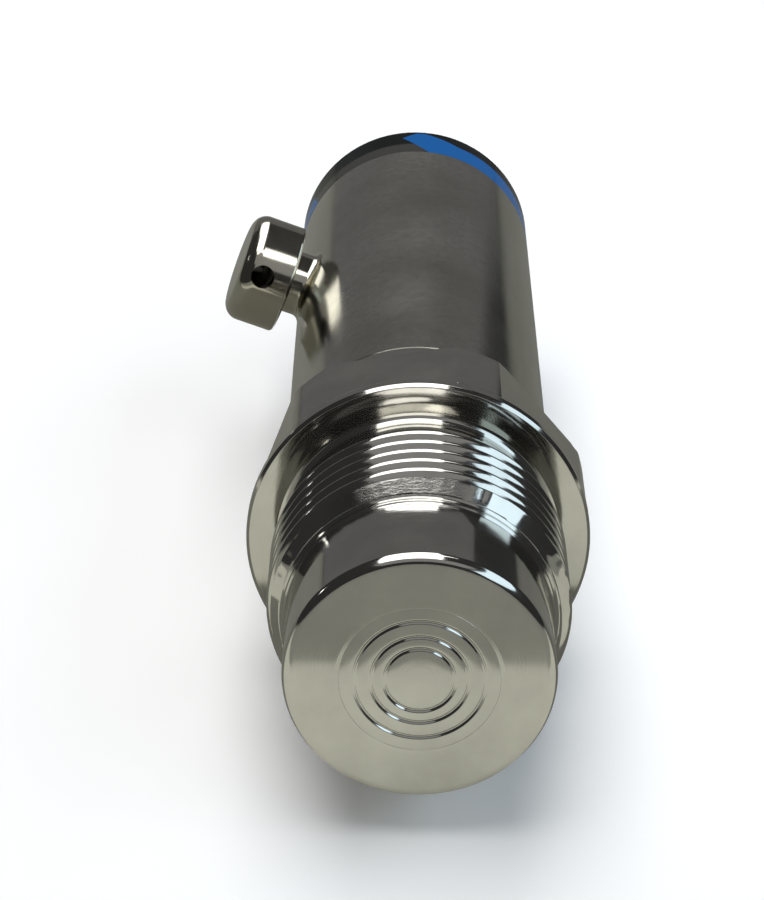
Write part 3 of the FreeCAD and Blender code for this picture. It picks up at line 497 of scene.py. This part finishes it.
def vent_cap(material):
    """Domed cap turned about the vent's axis, with one round hole drilled in its side."""
    grid = turned_grid([
        (VENT_STEM, VENT_CAP_START, 0.15 * MM),
        (VENT_CAP_RADIUS, VENT_CAP_START, VENT_CAP_INNER_ROUND),
        (VENT_CAP_RADIUS, VENT_CAP_END, VENT_CAP_OUTER_ROUND), (0, VENT_CAP_END),
        (0, VENT_ROOM_TOP), (VENT_STEM, VENT_ROOM_TOP)],
        REAR_COLUMNS, VENT_AXIS, VENT_FOOT, steps=12)
    cap = make_piece("vent_cap_turned", [grid], material)
    upward = -VENT_AXIS[1]
    along = np.array([0.0, -math.cos(VENT_HOLE_TILT), 0.0]) + upward * math.sin(VENT_HOLE_TILT)
    middle = VENT_FOOT + VENT_OUT * VENT_HOLE_HEIGHT
    hole_axes = np.array([VENT_OUT, np.cross(along, VENT_OUT), along])
    reach = VENT_CAP_RADIUS + 2 * MM
    drill = turned_grid([(0, 0), (VENT_HOLE, 0), (VENT_HOLE, reach), (0, reach)],
                        DRILL_COLUMNS, hole_axes, middle)
    cutter = make_piece("vent_side_drill", [drill], material)
    cut = cap.modifiers.new("side_hole", "BOOLEAN")
    cut.operation = "DIFFERENCE"
    cut.solver = "EXACT"
    cut.object = cutter
    bpy.context.view_layer.update()
    evaluated = cap.evaluated_get(bpy.context.evaluated_depsgraph_get())
    drilled = bpy.data.meshes.new_from_object(evaluated)
    cap.modifiers.clear()
    cap.data = drilled
    bpy.data.objects.remove(cutter)
    drilled.shade_smooth()
    drilled.set_sharp_from_angle(angle=math.radians(30))
    return cap


# ---------------------------------------------------------------- rear end
def label_ring(material):
    """Moulded ring between the tube and the rear face, rounded at its outer edge."""
    grid = turned_grid([
        (RING_BORE, TUBE_REAR), (BODY_RADIUS, TUBE_REAR, 0.04 * MM),
        (BODY_RADIUS, RING_REAR, RING_EDGE), (RING_BORE, RING_REAR)], BODY_COLUMNS)
    return make_piece("label_ring_moulded", [grid], material)


def end_cap(material):
    """Cup that closes the tube, with the groove for its seal and the hole for the plug."""
    insert = TUBE_BORE - FIT
    inner = insert - CAP_WALL
    near, far, deep = CAP_GROOVE
    grid = turned_grid([
        (inner, TUBE_REAR - CAP_INSERT), (insert, TUBE_REAR - CAP_INSERT, 0.4 * MM),
        (insert, TUBE_REAR - far), (TUBE_BORE - deep, TUBE_REAR - far),
        (TUBE_BORE - deep, TUBE_REAR - near), (insert, TUBE_REAR - near),
        (insert, TUBE_REAR), (RING_BORE, TUBE_REAR), (RING_BORE, CAP_REAR, 0.3 * MM),
        (PLUG_SPIGOT, CAP_REAR), (PLUG_SPIGOT, CAP_REAR - CAP_REAR_WALL),
        (inner, CAP_REAR - CAP_REAR_WALL, 0.8 * MM)], REAR_COLUMNS)
    return make_piece("end_cap_turned", [grid], material)


def plug_shell(material):
    """Threaded shell of the four-pole plug: flange, undercut and a fine helical thread.

    The thread's radius is the smaller of its form and a cone that rises from each end.
    """
    flange_rear = CAP_REAR + PLUG_FLANGE_LENGTH
    start = flange_rear + PLUG_UNDERCUT_LENGTH
    seal_in, seal_out, seal_deep = PLUG_SEAL
    before = eased_outline([
        (PLUG_BORE, PLUG_FRONT), (PLUG_SPIGOT, PLUG_FRONT, 0.3 * MM), (PLUG_SPIGOT, CAP_REAR),
        (seal_in, CAP_REAR), (seal_in, CAP_REAR + seal_deep), (seal_out, CAP_REAR + seal_deep),
        (seal_out, CAP_REAR), (PLUG_FLANGE, CAP_REAR, 0.1 * MM),
        (PLUG_FLANGE, flange_rear, 0.4 * MM), (PLUG_UNDERCUT, flange_rear, 0.15 * MM),
        (PLUG_UNDERCUT, start), (0, start)])[:-3]
    after = eased_outline([
        (PLUG_UNDERCUT, PLUG_RIM), (PLUG_BORE, PLUG_RIM, 0.15 * MM),
        (PLUG_BORE, PLUG_FRONT), (PLUG_UNDERCUT, PLUG_FRONT)])[1:-2]
    angles = np.linspace(0, FULL_TURN, PLUG_COLUMNS, endpoint=False)
    turns = np.concatenate([angles, [FULL_TURN]])
    along, phase = thread_rows(
        start, PLUG_RIM, PLUG_THREAD_PITCH, turns, start, PLUG_ROWS_A_PITCH)
    radius = thread_form(phase, PLUG_THREAD_PITCH, PLUG_THREAD_RADIUS, PLUG_THREAD_FLANK,
                         PLUG_THREAD_ROUND, PLUG_THREAD_ROUND)
    cone = np.minimum(along - start, PLUG_RIM - along) * PLUG_THREAD_LEAD + PLUG_UNDERCUT
    radius = np.minimum(radius, cone)
    thread = grid_mesh(turn_rows(radius, along, turns), closed_rows=False, closed_columns=False)
    outline = np.vstack([
        [(PLUG_UNDERCUT, PLUG_RIM)], after, before, [(PLUG_UNDERCUT, start)]])
    shell = grid_mesh(turn_rows(*level_rows(outline, PLUG_COLUMNS), angles), closed_rows=False)
    return make_piece("plug_shell_threaded", [thread, shell], material)


def plug_pins(material):
    """Four round pins with domed tips, parallel to the device axis."""
    grids = []
    for quarter in range(4):
        angle = quarter * math.pi / 2
        foot = (PIN_CIRCLE * math.cos(angle), 0.0, PIN_CIRCLE * math.sin(angle))
        grids.append(turned_grid([
            (0, PIN_FRONT), (PIN_RADIUS, PIN_FRONT, 0.1 * MM),
            (PIN_RADIUS, PIN_TIP, 0.48 * MM), (0, PIN_TIP)], PIN_COLUMNS, DEVICE_AXIS, foot))
    return make_piece("plug_pins_turned", grids, material)


# ---------------------------------------------------------------- materials
STEEL = (0.56, 0.55, 0.51)
VENT_TURN = Matrix((VENT_AXIS[0], VENT_AXIS[2], -VENT_AXIS[1])).transposed().to_euler()

# The tool has torn the first turn of the pipe thread between these distances along the axis,
# and between these angles, in radians from +X towards +Z: where it begins, is full, and ends.
TORN_TURN = (THREAD_START - 0.2 * MM, THREAD_START + 2.6 * MM)
TORN_ANGLES = (1.15, 1.35, 1.95, 2.3)

# Edges of the bands on the ring, as shares of its height: (at the first angle, at the second,
# first angle, second angle), in degrees from the top towards +X.  A band starts or ends softly
# between two angles, and the left band's end slants by so many degrees over the height.
BAND_TOP_RISE = (0.66, 0.86, -7.0, 0.0)
BAND_TOP_FALL = (0.0, -0.30, 4.0, 22.0)
BAND_FOOT = (0.66, -0.05, -7.0, 7.0)
BAND_EDGE = 0.015
BAND_START = (-8.0, -7.0)
LEFT_BAND_TOP = 0.56
LEFT_BAND_END = (-60.0, -58.5)
LEFT_BAND_SLANT = 9.0
GREY_BAND_TOP = 0.37
GREY_BAND_END = (2.0, 12.0)
GREY_BAND_EDGE = 0.04


def shade(colour, factor):
    """A darker or lighter colour, with no channel over 1."""
    return tuple(min(1.0, channel * factor) for channel in colour)


class Nodes:
    """Small helper that adds nodes to one material and links them."""

    def __init__(self, name):
        """Start a material with one shader, and coordinates in the object's own space."""
        self.material = bpy.data.materials.new(name)
        self.material.use_nodes = True
        self.tree = self.material.node_tree
        self.tree.nodes.clear()
        output = self.tree.nodes.new("ShaderNodeOutputMaterial")
        self.shader = self.tree.nodes.new("ShaderNodeBsdfPrincipled")
        self.feed(output.inputs[0], self.shader.outputs[0])
        self.coordinates = self.tree.nodes.new("ShaderNodeTexCoord").outputs["Object"]

    def feed(self, target, value):
        """Link another node's output to a socket, or set the socket's own value."""
        if hasattr(value, "links"):
            self.tree.links.new(value, target)
        else:
            target.default_value = value

    def surface(self, **inputs):
        """Feed the shader's sockets; Base_Color stands for the socket Base Color."""
        for socket, value in inputs.items():
            self.feed(self.shader.inputs[socket.replace("_", " ")], value)
        return self.material

    def add(self, kind, inputs=None, **settings):
        """Add a shader node with its settings, and feed its inputs by name or number."""
        node = self.tree.nodes.new("ShaderNode" + kind)
        for name, value in settings.items():
            setattr(node, name, value)
        for socket, value in (inputs or {}).items():
            self.feed(node.inputs[socket], value)
        return node

    def maths(self, operation, *values):
        """One operation on one or two values."""
        return self.add("Math", dict(enumerate(values)), operation=operation).outputs[0]

    def noise(self, vector, scale, detail=3.0, roughness=0.5):
        """Noise from 0 to 1, with scale as cells a metre."""
        inputs = {"Vector": vector, "Scale": scale, "Detail": detail, "Roughness": roughness}
        return self.add("TexNoise", inputs).outputs[0]

    def spread(self, value, low_value, high_value, start=0.0, end=1.0):
        """Map start to low_value and end to high_value, held outside them."""
        inputs = {0: value, 1: start, 2: end, 3: low_value, 4: high_value}
        return self.add("MapRange", inputs).outputs[0]

    def below(self, value, limit, soft):
        """1 where value is below limit and 0 above it, with an edge of twice soft."""
        return self.spread(self.maths("SUBTRACT", limit, value), 0.0, 1.0, -soft, soft)

    def blend(self, share, first, second):
        """Mix two colours, each a tuple or another node's output."""
        node = self.add("Mix", {0: share}, data_type="RGBA")
        for socket, colour in ((6, first), (7, second)):
            self.feed(node.inputs[socket], (*colour, 1.0) if isinstance(colour, tuple) else colour)
        return node.outputs[2]

    def bump(self, height, distance, normal=None):
        """Normal of a surface that a height of 1 lifts by distance, on top of another bump."""
        inputs = {"Height": height, "Distance": distance, "Strength": 1.0}
        if normal is not None:
            inputs["Normal"] = normal
        return self.add("Bump", inputs).outputs[0]


def around_axis(nodes, turn=None, place=None):
    """Separate object coordinates, and the distance from the axis that a piece is turned about.

    That is the device's axis, or where turn and place are given, an axis of the piece's own.
    """
    vector = nodes.coordinates
    if turn is not None:
        inputs = {"Vector": vector, "Location": place, "Rotation": turn}
        vector = nodes.add("Mapping", inputs, vector_type="TEXTURE").outputs[0]
    split = nodes.add("SeparateXYZ", {0: vector}).outputs
    flat = nodes.add("CombineXYZ", {0: split[0], 2: split[2]}).outputs[0]
    radius = nodes.add("VectorMath", {0: flat}, operation="LENGTH").outputs["Value"]
    return split, radius


def torn_share(nodes, along, angle):
    """1 on the torn part of the first thread turn, and 0 off it."""
    start, end = TORN_TURN
    begins, full, wanes, ends = TORN_ANGLES
    share = nodes.maths("MULTIPLY", nodes.spread(along, 0.0, 1.0, start, start + 0.3 * MM),
                        nodes.spread(along, 1.0, 0.0, end - 0.5 * MM, end))
    share = nodes.maths("MULTIPLY", share, nodes.spread(angle, 0.0, 1.0, begins, full))
    return nodes.maths("MULTIPLY", share, nodes.spread(angle, 1.0, 0.0, wanes, ends))


def turned_metal(name, colour, roughness, groove=0.0006, groove_scale=5200.0, turn=None,
                 place=None, smudge=0.05, torn=False):
    """Machined metal: tool marks run round the axis, with faint stains and worn patches.

    Its marks are groove millimetres deep.  Where torn is set, the first turn of the pipe
    thread is ragged and darker.
    """
    nodes = Nodes(name)
    split, radius = around_axis(nodes, turn, place)
    rings = nodes.add("CombineXYZ", {0: radius, 1: split[1], 2: 0.0}).outputs[0]
    fine = nodes.noise(rings, groove_scale, 2.0, 0.6)
    coarse = nodes.noise(rings, groove_scale / 7, 1.0)
    cloud = nodes.noise(nodes.coordinates, 90.0, 4.0, 0.6)
    speck = nodes.noise(nodes.coordinates, 1400.0, 3.0, 0.7)
    patches = nodes.spread(cloud, 0.0, 1.0, 0.35, 0.68)
    tint = nodes.blend(patches, shade(colour, 0.86), shade(colour, 1.05))
    stain = nodes.spread(speck, 0.0, 0.35, 0.66, 0.80)
    base = nodes.blend(stain, tint, shade(colour, 0.55))
    height = nodes.maths("ADD", fine, nodes.maths("MULTIPLY", coarse, 2.0))
    normal = nodes.bump(height, groove * MM)
    if torn:
        angle = nodes.maths("ARCTAN2", split[2], split[0])
        arc = nodes.maths("MULTIPLY", angle, THREAD_ROOT * 0.45)
        ragged = nodes.add("CombineXYZ", {0: arc, 1: split[1], 2: radius}).outputs[0]
        ragged = nodes.noise(ragged, 3600.0, 5.0, 0.65)
        share = torn_share(nodes, split[1], angle)
        base = nodes.blend(nodes.maths("MULTIPLY", share, 0.55), base, shade(colour, 0.4))
        normal = nodes.bump(nodes.maths("MULTIPLY", ragged, share), 0.05 * MM, normal)
    rough = nodes.maths("ADD", nodes.spread(cloud, -smudge, smudge, 0.3, 0.7), roughness)
    rough = nodes.maths("ADD", rough, nodes.spread(fine, -0.03, 0.03, 0.3, 0.7))
    return nodes.surface(Base_Color=base, Metallic=1.0, Roughness=rough, Normal=normal)


def satin_tube():
    """Ground tube: fine lines round it, long faint streaks along it, and handling marks."""
    nodes = Nodes("ground_stainless_tube")
    split = nodes.add("SeparateXYZ", {0: nodes.coordinates}).outputs
    angle = nodes.maths("ARCTAN2", split[2], split[0])
    arc = nodes.maths("MULTIPLY", angle, BODY_RADIUS)
    short_along = nodes.maths("MULTIPLY", split[1], 0.05)
    short_arc = nodes.maths("MULTIPLY", arc, 0.04)
    streak = nodes.add("CombineXYZ", {0: arc, 1: short_along}).outputs[0]
    streak = nodes.noise(streak, 700.0, 4.0, 0.6)
    lines = nodes.add("CombineXYZ", {0: short_arc, 1: split[1]}).outputs[0]
    lines = nodes.noise(lines, 6000.0, 3.0, 0.6)
    cloud = nodes.noise(nodes.coordinates, 55.0, 5.0, 0.6)
    speckle = nodes.noise(nodes.coordinates, 1100.0, 4.0, 0.75)
    patches = nodes.spread(cloud, 0.0, 1.0, 0.36, 0.66)
    tint = nodes.blend(patches, (0.44, 0.425, 0.38), (0.58, 0.57, 0.53))
    tint = nodes.blend(nodes.spread(streak, 0.0, 0.35, 0.45, 0.70), tint, (0.44, 0.43, 0.385))
    tint = nodes.blend(nodes.spread(speckle, 0.0, 0.5, 0.45, 0.70), tint, (0.36, 0.35, 0.31))
    rough = nodes.spread(cloud, 0.11, 0.16, 0.35, 0.65)
    rough = nodes.maths("ADD", rough, nodes.spread(streak, -0.02, 0.03))
    normal = nodes.bump(lines, 0.0022 * MM)
    normal = nodes.bump(streak, 0.006 * MM, normal)
    return nodes.surface(Base_Color=tint, Metallic=1.0, Roughness=rough, Normal=normal)


def banded_ring():
    """Glossy black ring with a slanting blue band above a narrow grey one.

    The band is placed by the angle round the device axis: it starts as a point near the top
    and grows as the angle turns towards +X, to end with a slant on the other side.
    """
    nodes = Nodes("printed_black_ring")
    split = nodes.add("SeparateXYZ", {0: nodes.coordinates}).outputs
    degrees = nodes.maths("DEGREES", nodes.maths("ARCTAN2", split[0], split[2]))
    height = nodes.maths("SUBTRACT", split[1], TUBE_REAR)
    height = nodes.maths("DIVIDE", height, RING_REAR - TUBE_REAR)
    upper = nodes.spread(degrees, *BAND_TOP_RISE)
    upper = nodes.maths("ADD", upper, nodes.spread(degrees, *BAND_TOP_FALL))
    lower = nodes.spread(degrees, *BAND_FOOT)
    blue = nodes.maths("MULTIPLY", nodes.below(height, upper, BAND_EDGE),
                       nodes.below(lower, height, BAND_EDGE))
    blue = nodes.maths("MULTIPLY", blue, nodes.spread(degrees, 0.0, 1.0, *BAND_START))
    slant = nodes.maths("MULTIPLY", height, LEFT_BAND_SLANT)
    left = nodes.spread(nodes.maths("ADD", degrees, slant), 1.0, 0.0, *LEFT_BAND_END)
    left = nodes.maths("MULTIPLY", left, nodes.below(height, LEFT_BAND_TOP, BAND_EDGE))
    blue = nodes.maths("MAXIMUM", blue, left)
    # The narrow grey band is a lighter grey painted into the colour, low on the ring and round its
    # -X half.
    grey = nodes.maths("MULTIPLY", nodes.below(height, GREY_BAND_TOP, GREY_BAND_EDGE),
                       nodes.spread(degrees, 1.0, 0.0, *GREY_BAND_END))
    dust = nodes.noise(nodes.coordinates, 2500.0, 3.0, 0.7)
    cloud = nodes.noise(nodes.coordinates, 160.0, 4.0)
    patches = nodes.spread(cloud, 0.0, 1.0, 0.3, 0.7)
    colour = nodes.blend(patches, (0.004, 0.005, 0.005), (0.009, 0.010, 0.010))
    colour = nodes.blend(grey, colour, (0.045, 0.044, 0.040))
    colour = nodes.blend(blue, colour, (0.006, 0.10, 0.33))
    colour = nodes.blend(nodes.spread(dust, 0.0, 0.10, 0.68, 0.8), colour, (0.2, 0.2, 0.2))
    return nodes.surface(
        Base_Color=colour, IOR=1.14, Roughness=nodes.spread(cloud, 0.07, 0.11, 0.3, 0.7),
        Normal=nodes.bump(cloud, 0.01 * MM))


def moulding(name, colour, roughness, grain=900.0, depth=0.01, metallic=0.0):
    """Moulded or cast surface: fine grain, uneven gloss and a little colour drift.

    Its grain is depth millimetres deep.
    """
    nodes = Nodes(name)
    cloud = nodes.noise(nodes.coordinates, 220.0, 4.0, 0.6)
    fine = nodes.noise(nodes.coordinates, grain, 3.0, 0.6)
    patches = nodes.spread(cloud, 0.0, 1.0, 0.32, 0.68)
    return nodes.surface(
        Base_Color=nodes.blend(patches, shade(colour, 0.82), shade(colour, 1.12)),
        Metallic=metallic,
        Roughness=nodes.spread(fine, roughness - 0.06, roughness + 0.06, 0.3, 0.7),
        Normal=nodes.bump(fine, depth * MM))


def circuit_board(name):
    """Green laminate with a faint glass weave."""
    nodes = Nodes(name)
    brick = nodes.add("TexBrick", {
        "Vector": nodes.coordinates, "Scale": 900.0, "Mortar Size": 0.05,
        "Color1": (1, 1, 1, 1), "Color2": (0.8, 0.8, 0.8, 1), "Mortar": (0, 0, 0, 1)}).outputs[0]
    cloud = nodes.noise(nodes.coordinates, 300.0, 3.0)
    patches = nodes.spread(cloud, 0.0, 1.0, 0.35, 0.65)
    base = nodes.blend(patches, (0.008, 0.07, 0.03), (0.015, 0.11, 0.045))
    return nodes.surface(
        Base_Color=nodes.blend(nodes.spread(brick, 0.0, 0.3), base, (0.03, 0.16, 0.07)),
        Roughness=nodes.spread(cloud, 0.25, 0.4), Normal=nodes.bump(brick, 0.01 * MM))


turned_stainless = turned_metal(
    "turned_stainless", STEEL, 0.085, groove=0.0003, smudge=0.02, torn=True)
pressed_foil = turned_metal("pressed_foil", (0.57, 0.56, 0.52), 0.10, groove=0.0002, smudge=0.02)
cap_stainless = turned_metal(
    "vent_cap_stainless", (0.55, 0.53, 0.45), 0.10, groove=0.0005, turn=VENT_TURN,
    place=VENT_FOOT)
tube_stainless = satin_tube()
ring_print = banded_ring()
bead_nickel = turned_metal("plated_plug_nickel", (0.60, 0.58, 0.54), 0.22, groove_scale=7000.0)
rear_stainless = turned_metal("rear_cap_stainless", STEEL, 0.26)
pin_gold = turned_metal("pin_gold", (0.83, 0.60, 0.25), 0.20, groove=0.0003)

# ---------------------------------------------------------------- pieces
pieces = [
    (process_connection(turned_stainless), "process_connection", "stainless"),
    (isolating_diaphragm(pressed_foil), "isolating_diaphragm", "foil"),
    (housing_tube(tube_stainless), "housing_tube", "stainless"),
    (vent_stem(cap_stainless), "vent_stem", "stainless"),
    (vent_cap(cap_stainless), "vent_cap", "stainless"),
    (label_ring(ring_print), "label_ring", "label"),
    (end_cap(rear_stainless), "end_cap", "stainless"),
    (plug_shell(bead_nickel), "plug_shell", "nickel"),
    (plug_pins(pin_gold), "plug_pins", "gold"),
]
for piece, node, slot in pieces:
    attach(piece, "root")
    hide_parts(node)

INNER_FINISHES = {
    "stainless": turned_metal("inner_stainless", STEEL, 0.30),
    "ceramic": moulding("alumina_ceramic", (0.80, 0.79, 0.74), 0.45),
    "header_glass": moulding("sealing_glass", (0.02, 0.06, 0.05), 0.12),
    "gold": pin_gold,
    "silicon": moulding("silicon_die", (0.09, 0.09, 0.11), 0.15, metallic=0.6),
    "board": circuit_board("board_laminate"),
    "ribbon": moulding("polyimide_ribbon", (0.45, 0.20, 0.03), 0.35),
    "black_moulding": moulding("black_moulding", (0.012, 0.012, 0.013), 0.45),
    "chip_ceramic": moulding("capacitor_ceramic", (0.42, 0.30, 0.20), 0.5),
    "ferrite": moulding("ferrite", (0.05, 0.05, 0.055), 0.5),
    "carrier": moulding("glass_filled_carrier", (0.03, 0.03, 0.032), 0.5, grain=1600.0),
    "spring": turned_metal("phosphor_bronze_spring", (0.62, 0.36, 0.18), 0.28),
    "lead": moulding("lead_insulation", (0.02, 0.02, 0.022), 0.4),
    "elastomer": moulding("seal_elastomer", (0.015, 0.015, 0.016), 0.55),
    "membrane": moulding("vent_membrane_felt", (0.82, 0.82, 0.80), 0.7, grain=4000.0, depth=0.02),
    "nickel": bead_nickel,
    "insert": moulding("insert_polyamide", (0.014, 0.014, 0.015), 0.42),
}
replaced = {node for _, node, _ in pieces}
for entry in frame["record"]["subparts"]:
    if entry["node"] in replaced:
        continue
    mesh = frame["nodes"][entry["node"]].data
    mesh.materials.clear()
    mesh.materials.append(INNER_FINISHES[entry["material_slot"]])

# ---------------------------------------------------------------- floor, lamps and camera
# Lengths are in metres.  The floor's glow is a strength of emission, the flags' a share of
# their own colour, and the lens and sensor are in millimetres.
CAMERA_AIM = np.array([-4.24, 55.39, 0.0]) * MM
CAMERA_DISTANCE = 363.46 * MM
CAMERA_ELEVATION = math.radians(25.582)
CAMERA_ROLL = math.radians(0.745)
CAMERA_LENS = 120.4
CAMERA_SENSOR = 36.0
CAMERA_CLIP = (0.01, 20.0)
STUDIO_REACH = 3.0
FLOOR_GLOW = 0.09
FLAG_LIFT = 0.3 * MM
FLAG_TINT = (1.0, 0.98, 0.84)
NEAR_EDGE = -37.3 * MM
SIDE_EDGE = 6.0 * MM
REAR_EDGE = 160 * MM
BESIDE = 15.5 * MM
DOWN = (0.0, 0.0, -1.0)


def flat_sheet(name, corner_low, corner_high, height, material):
    """Level rectangle between two corners (x, y), at a height."""
    (x0, y0), (x1, y1) = corner_low, corner_high
    corners = [(x0, y0, height), (x1, y0, height), (x1, y1, height), (x0, y1, height)]
    mesh = bpy.data.meshes.new(name)
    mesh.from_pydata(corners, [], [(0, 1, 2, 3)])
    mesh.materials.append(material)
    sheet = bpy.data.objects.new(name, mesh)
    bpy.context.scene.collection.objects.link(sheet)
    return sheet


def pale_floor():
    """Wide pale table top at the lowest point of the device, with a soft paper mottle.

    Its glow is seen by the camera and in metal and glass, and lights nothing else.
    """
    nodes = Nodes("pale_table")
    mottle = nodes.noise(nodes.coordinates, 30.0, 3.0)
    path = nodes.add("LightPath").outputs
    seen = nodes.maths("MAXIMUM", path["Is Camera Ray"], path["Is Glossy Ray"])
    seen = nodes.maths("MAXIMUM", seen, path["Is Transmission Ray"])
    paper = nodes.surface(
        Base_Color=nodes.blend(mottle, (0.95, 0.95, 0.95), (0.98, 0.98, 0.98)), Roughness=0.9,
        Specular_IOR_Level=0.1, Emission_Color=(1.0, 1.0, 1.0, 1.0),
        Emission_Strength=nodes.maths("MULTIPLY", seen, FLOOR_GLOW))
    table = flat_sheet("pale_table", (-STUDIO_REACH, -STUDIO_REACH), (STUDIO_REACH, STUDIO_REACH),
                       FLOOR_Z, paper)


def panel(name, centre, facing, width, height, radiance, colour=(1.0, 1.0, 1.0)):
    """Rectangular lamp at centre, in metres, facing a direction; a mirror shows its radiance.

    Its height runs along +Z, or along +Y where it faces straight down.
    """
    lamp = bpy.data.lights.new(name, "AREA")
    lamp.shape = "RECTANGLE"
    lamp.size = width
    lamp.size_y = height
    lamp.energy = radiance * math.pi * width * height
    lamp.color = colour
    stand = bpy.data.objects.new(name, lamp)
    turn = Vector(facing).to_track_quat("-Z", "Y").to_matrix().to_4x4()
    stand.matrix_world = Matrix.Translation(Vector(centre)) @ turn
    bpy.context.scene.collection.objects.link(stand)
    stand.visible_camera = False


def flag(name, corner_low, corner_high, grey, glow=0.0):
    """Level warm grey card just above the table that shows only in reflections, where it is
    painted shade.
    """
    nodes = Nodes(name)
    mottle = nodes.noise(nodes.coordinates, 8.0, 2.0)
    warm = shade(FLAG_TINT, grey)
    # The glow is light with no lamp behind it, painted into the card's reflections.
    card_paint = nodes.surface(
        Base_Color=nodes.blend(mottle, shade(warm, 0.9), shade(warm, 1.1)), Roughness=0.9,
        Emission_Color=(*warm, 1.0), Emission_Strength=glow)
    card = flat_sheet(name, corner_low, corner_high, FLOOR_Z + FLAG_LIFT, card_paint)
    card.visible_camera = False
    card.visible_shadow = False
    card.visible_diffuse = False


pale_floor()
panel("ceiling_strip", centre=(-0.125, 0.56, 1.0), facing=DOWN,
      width=0.75, height=2.07, radiance=3.0)
panel("ceiling_front", centre=(0.075, -1.2, 1.0), facing=DOWN,
      width=1.35, height=1.4, radiance=0.3)
panel("right_window", centre=(1.2, -0.75, 0.98), facing=(-1.0, 0.0, 0.0),
      width=3.3, height=0.74, radiance=1.9, colour=(0.70, 0.87, 1.0))
panel("left_lamp", centre=(-1.05, 0.34, 0.455), facing=(0.86, -0.30, -0.40),
      width=0.13, height=0.06, radiance=6.0)
panel("vent_lamp", centre=(0.0201, 0.0428, 0.0918), facing=(-0.389, 0.458, -0.799),
      width=0.030, height=0.024, radiance=3.0)
panel("rear_wall", centre=(-0.25, 1.7, 0.53), facing=(0.1, -1.0, 0.0),
      width=1.9, height=1.08, radiance=0.115)
# Painted shade seen only in the metal's reflections: grey cards darken the table in front, close
# in front, beside and behind the device.
flag("front_flag", (-STUDIO_REACH, -STUDIO_REACH), (STUDIO_REACH, NEAR_EDGE), 0.35)
# The near flag's glow is painted light that lifts the card where the device's shadow falls on it.
flag("near_flag", (-STUDIO_REACH, NEAR_EDGE), (STUDIO_REACH, SIDE_EDGE), 0.58, glow=0.3)
flag("left_flag", (-STUDIO_REACH, SIDE_EDGE), (-BESIDE, STUDIO_REACH), 0.23)
flag("right_flag", (BESIDE, SIDE_EDGE), (STUDIO_REACH, STUDIO_REACH), 0.18)
flag("rear_flag", (-BESIDE, REAR_EDGE), (BESIDE, STUDIO_REACH), 0.30)

world = bpy.data.worlds.new("dim_studio")
bpy.context.scene.world = world
world.use_nodes = True
world.node_tree.nodes["Background"].inputs[0].default_value = (0.04, 0.04, 0.041, 1.0)
bpy.context.scene.view_settings.view_transform = "Standard"

camera = bpy.data.objects.new("camera", bpy.data.cameras.new("camera"))
bpy.context.scene.collection.objects.link(camera)
camera.data.sensor_width = CAMERA_SENSOR
camera.data.lens = CAMERA_LENS
camera.data.clip_start, camera.data.clip_end = CAMERA_CLIP
outward = Vector((0.0, -math.cos(CAMERA_ELEVATION), math.sin(CAMERA_ELEVATION)))
look = (-outward).to_track_quat("-Z", "Y").to_matrix().to_4x4()
stand_point = Matrix.Translation(Vector(CAMERA_AIM) + outward * CAMERA_DISTANCE)
camera.matrix_world = stand_point @ look @ Matrix.Rotation(CAMERA_ROLL, 4, "Z")
bpy.context.scene.camera = camera
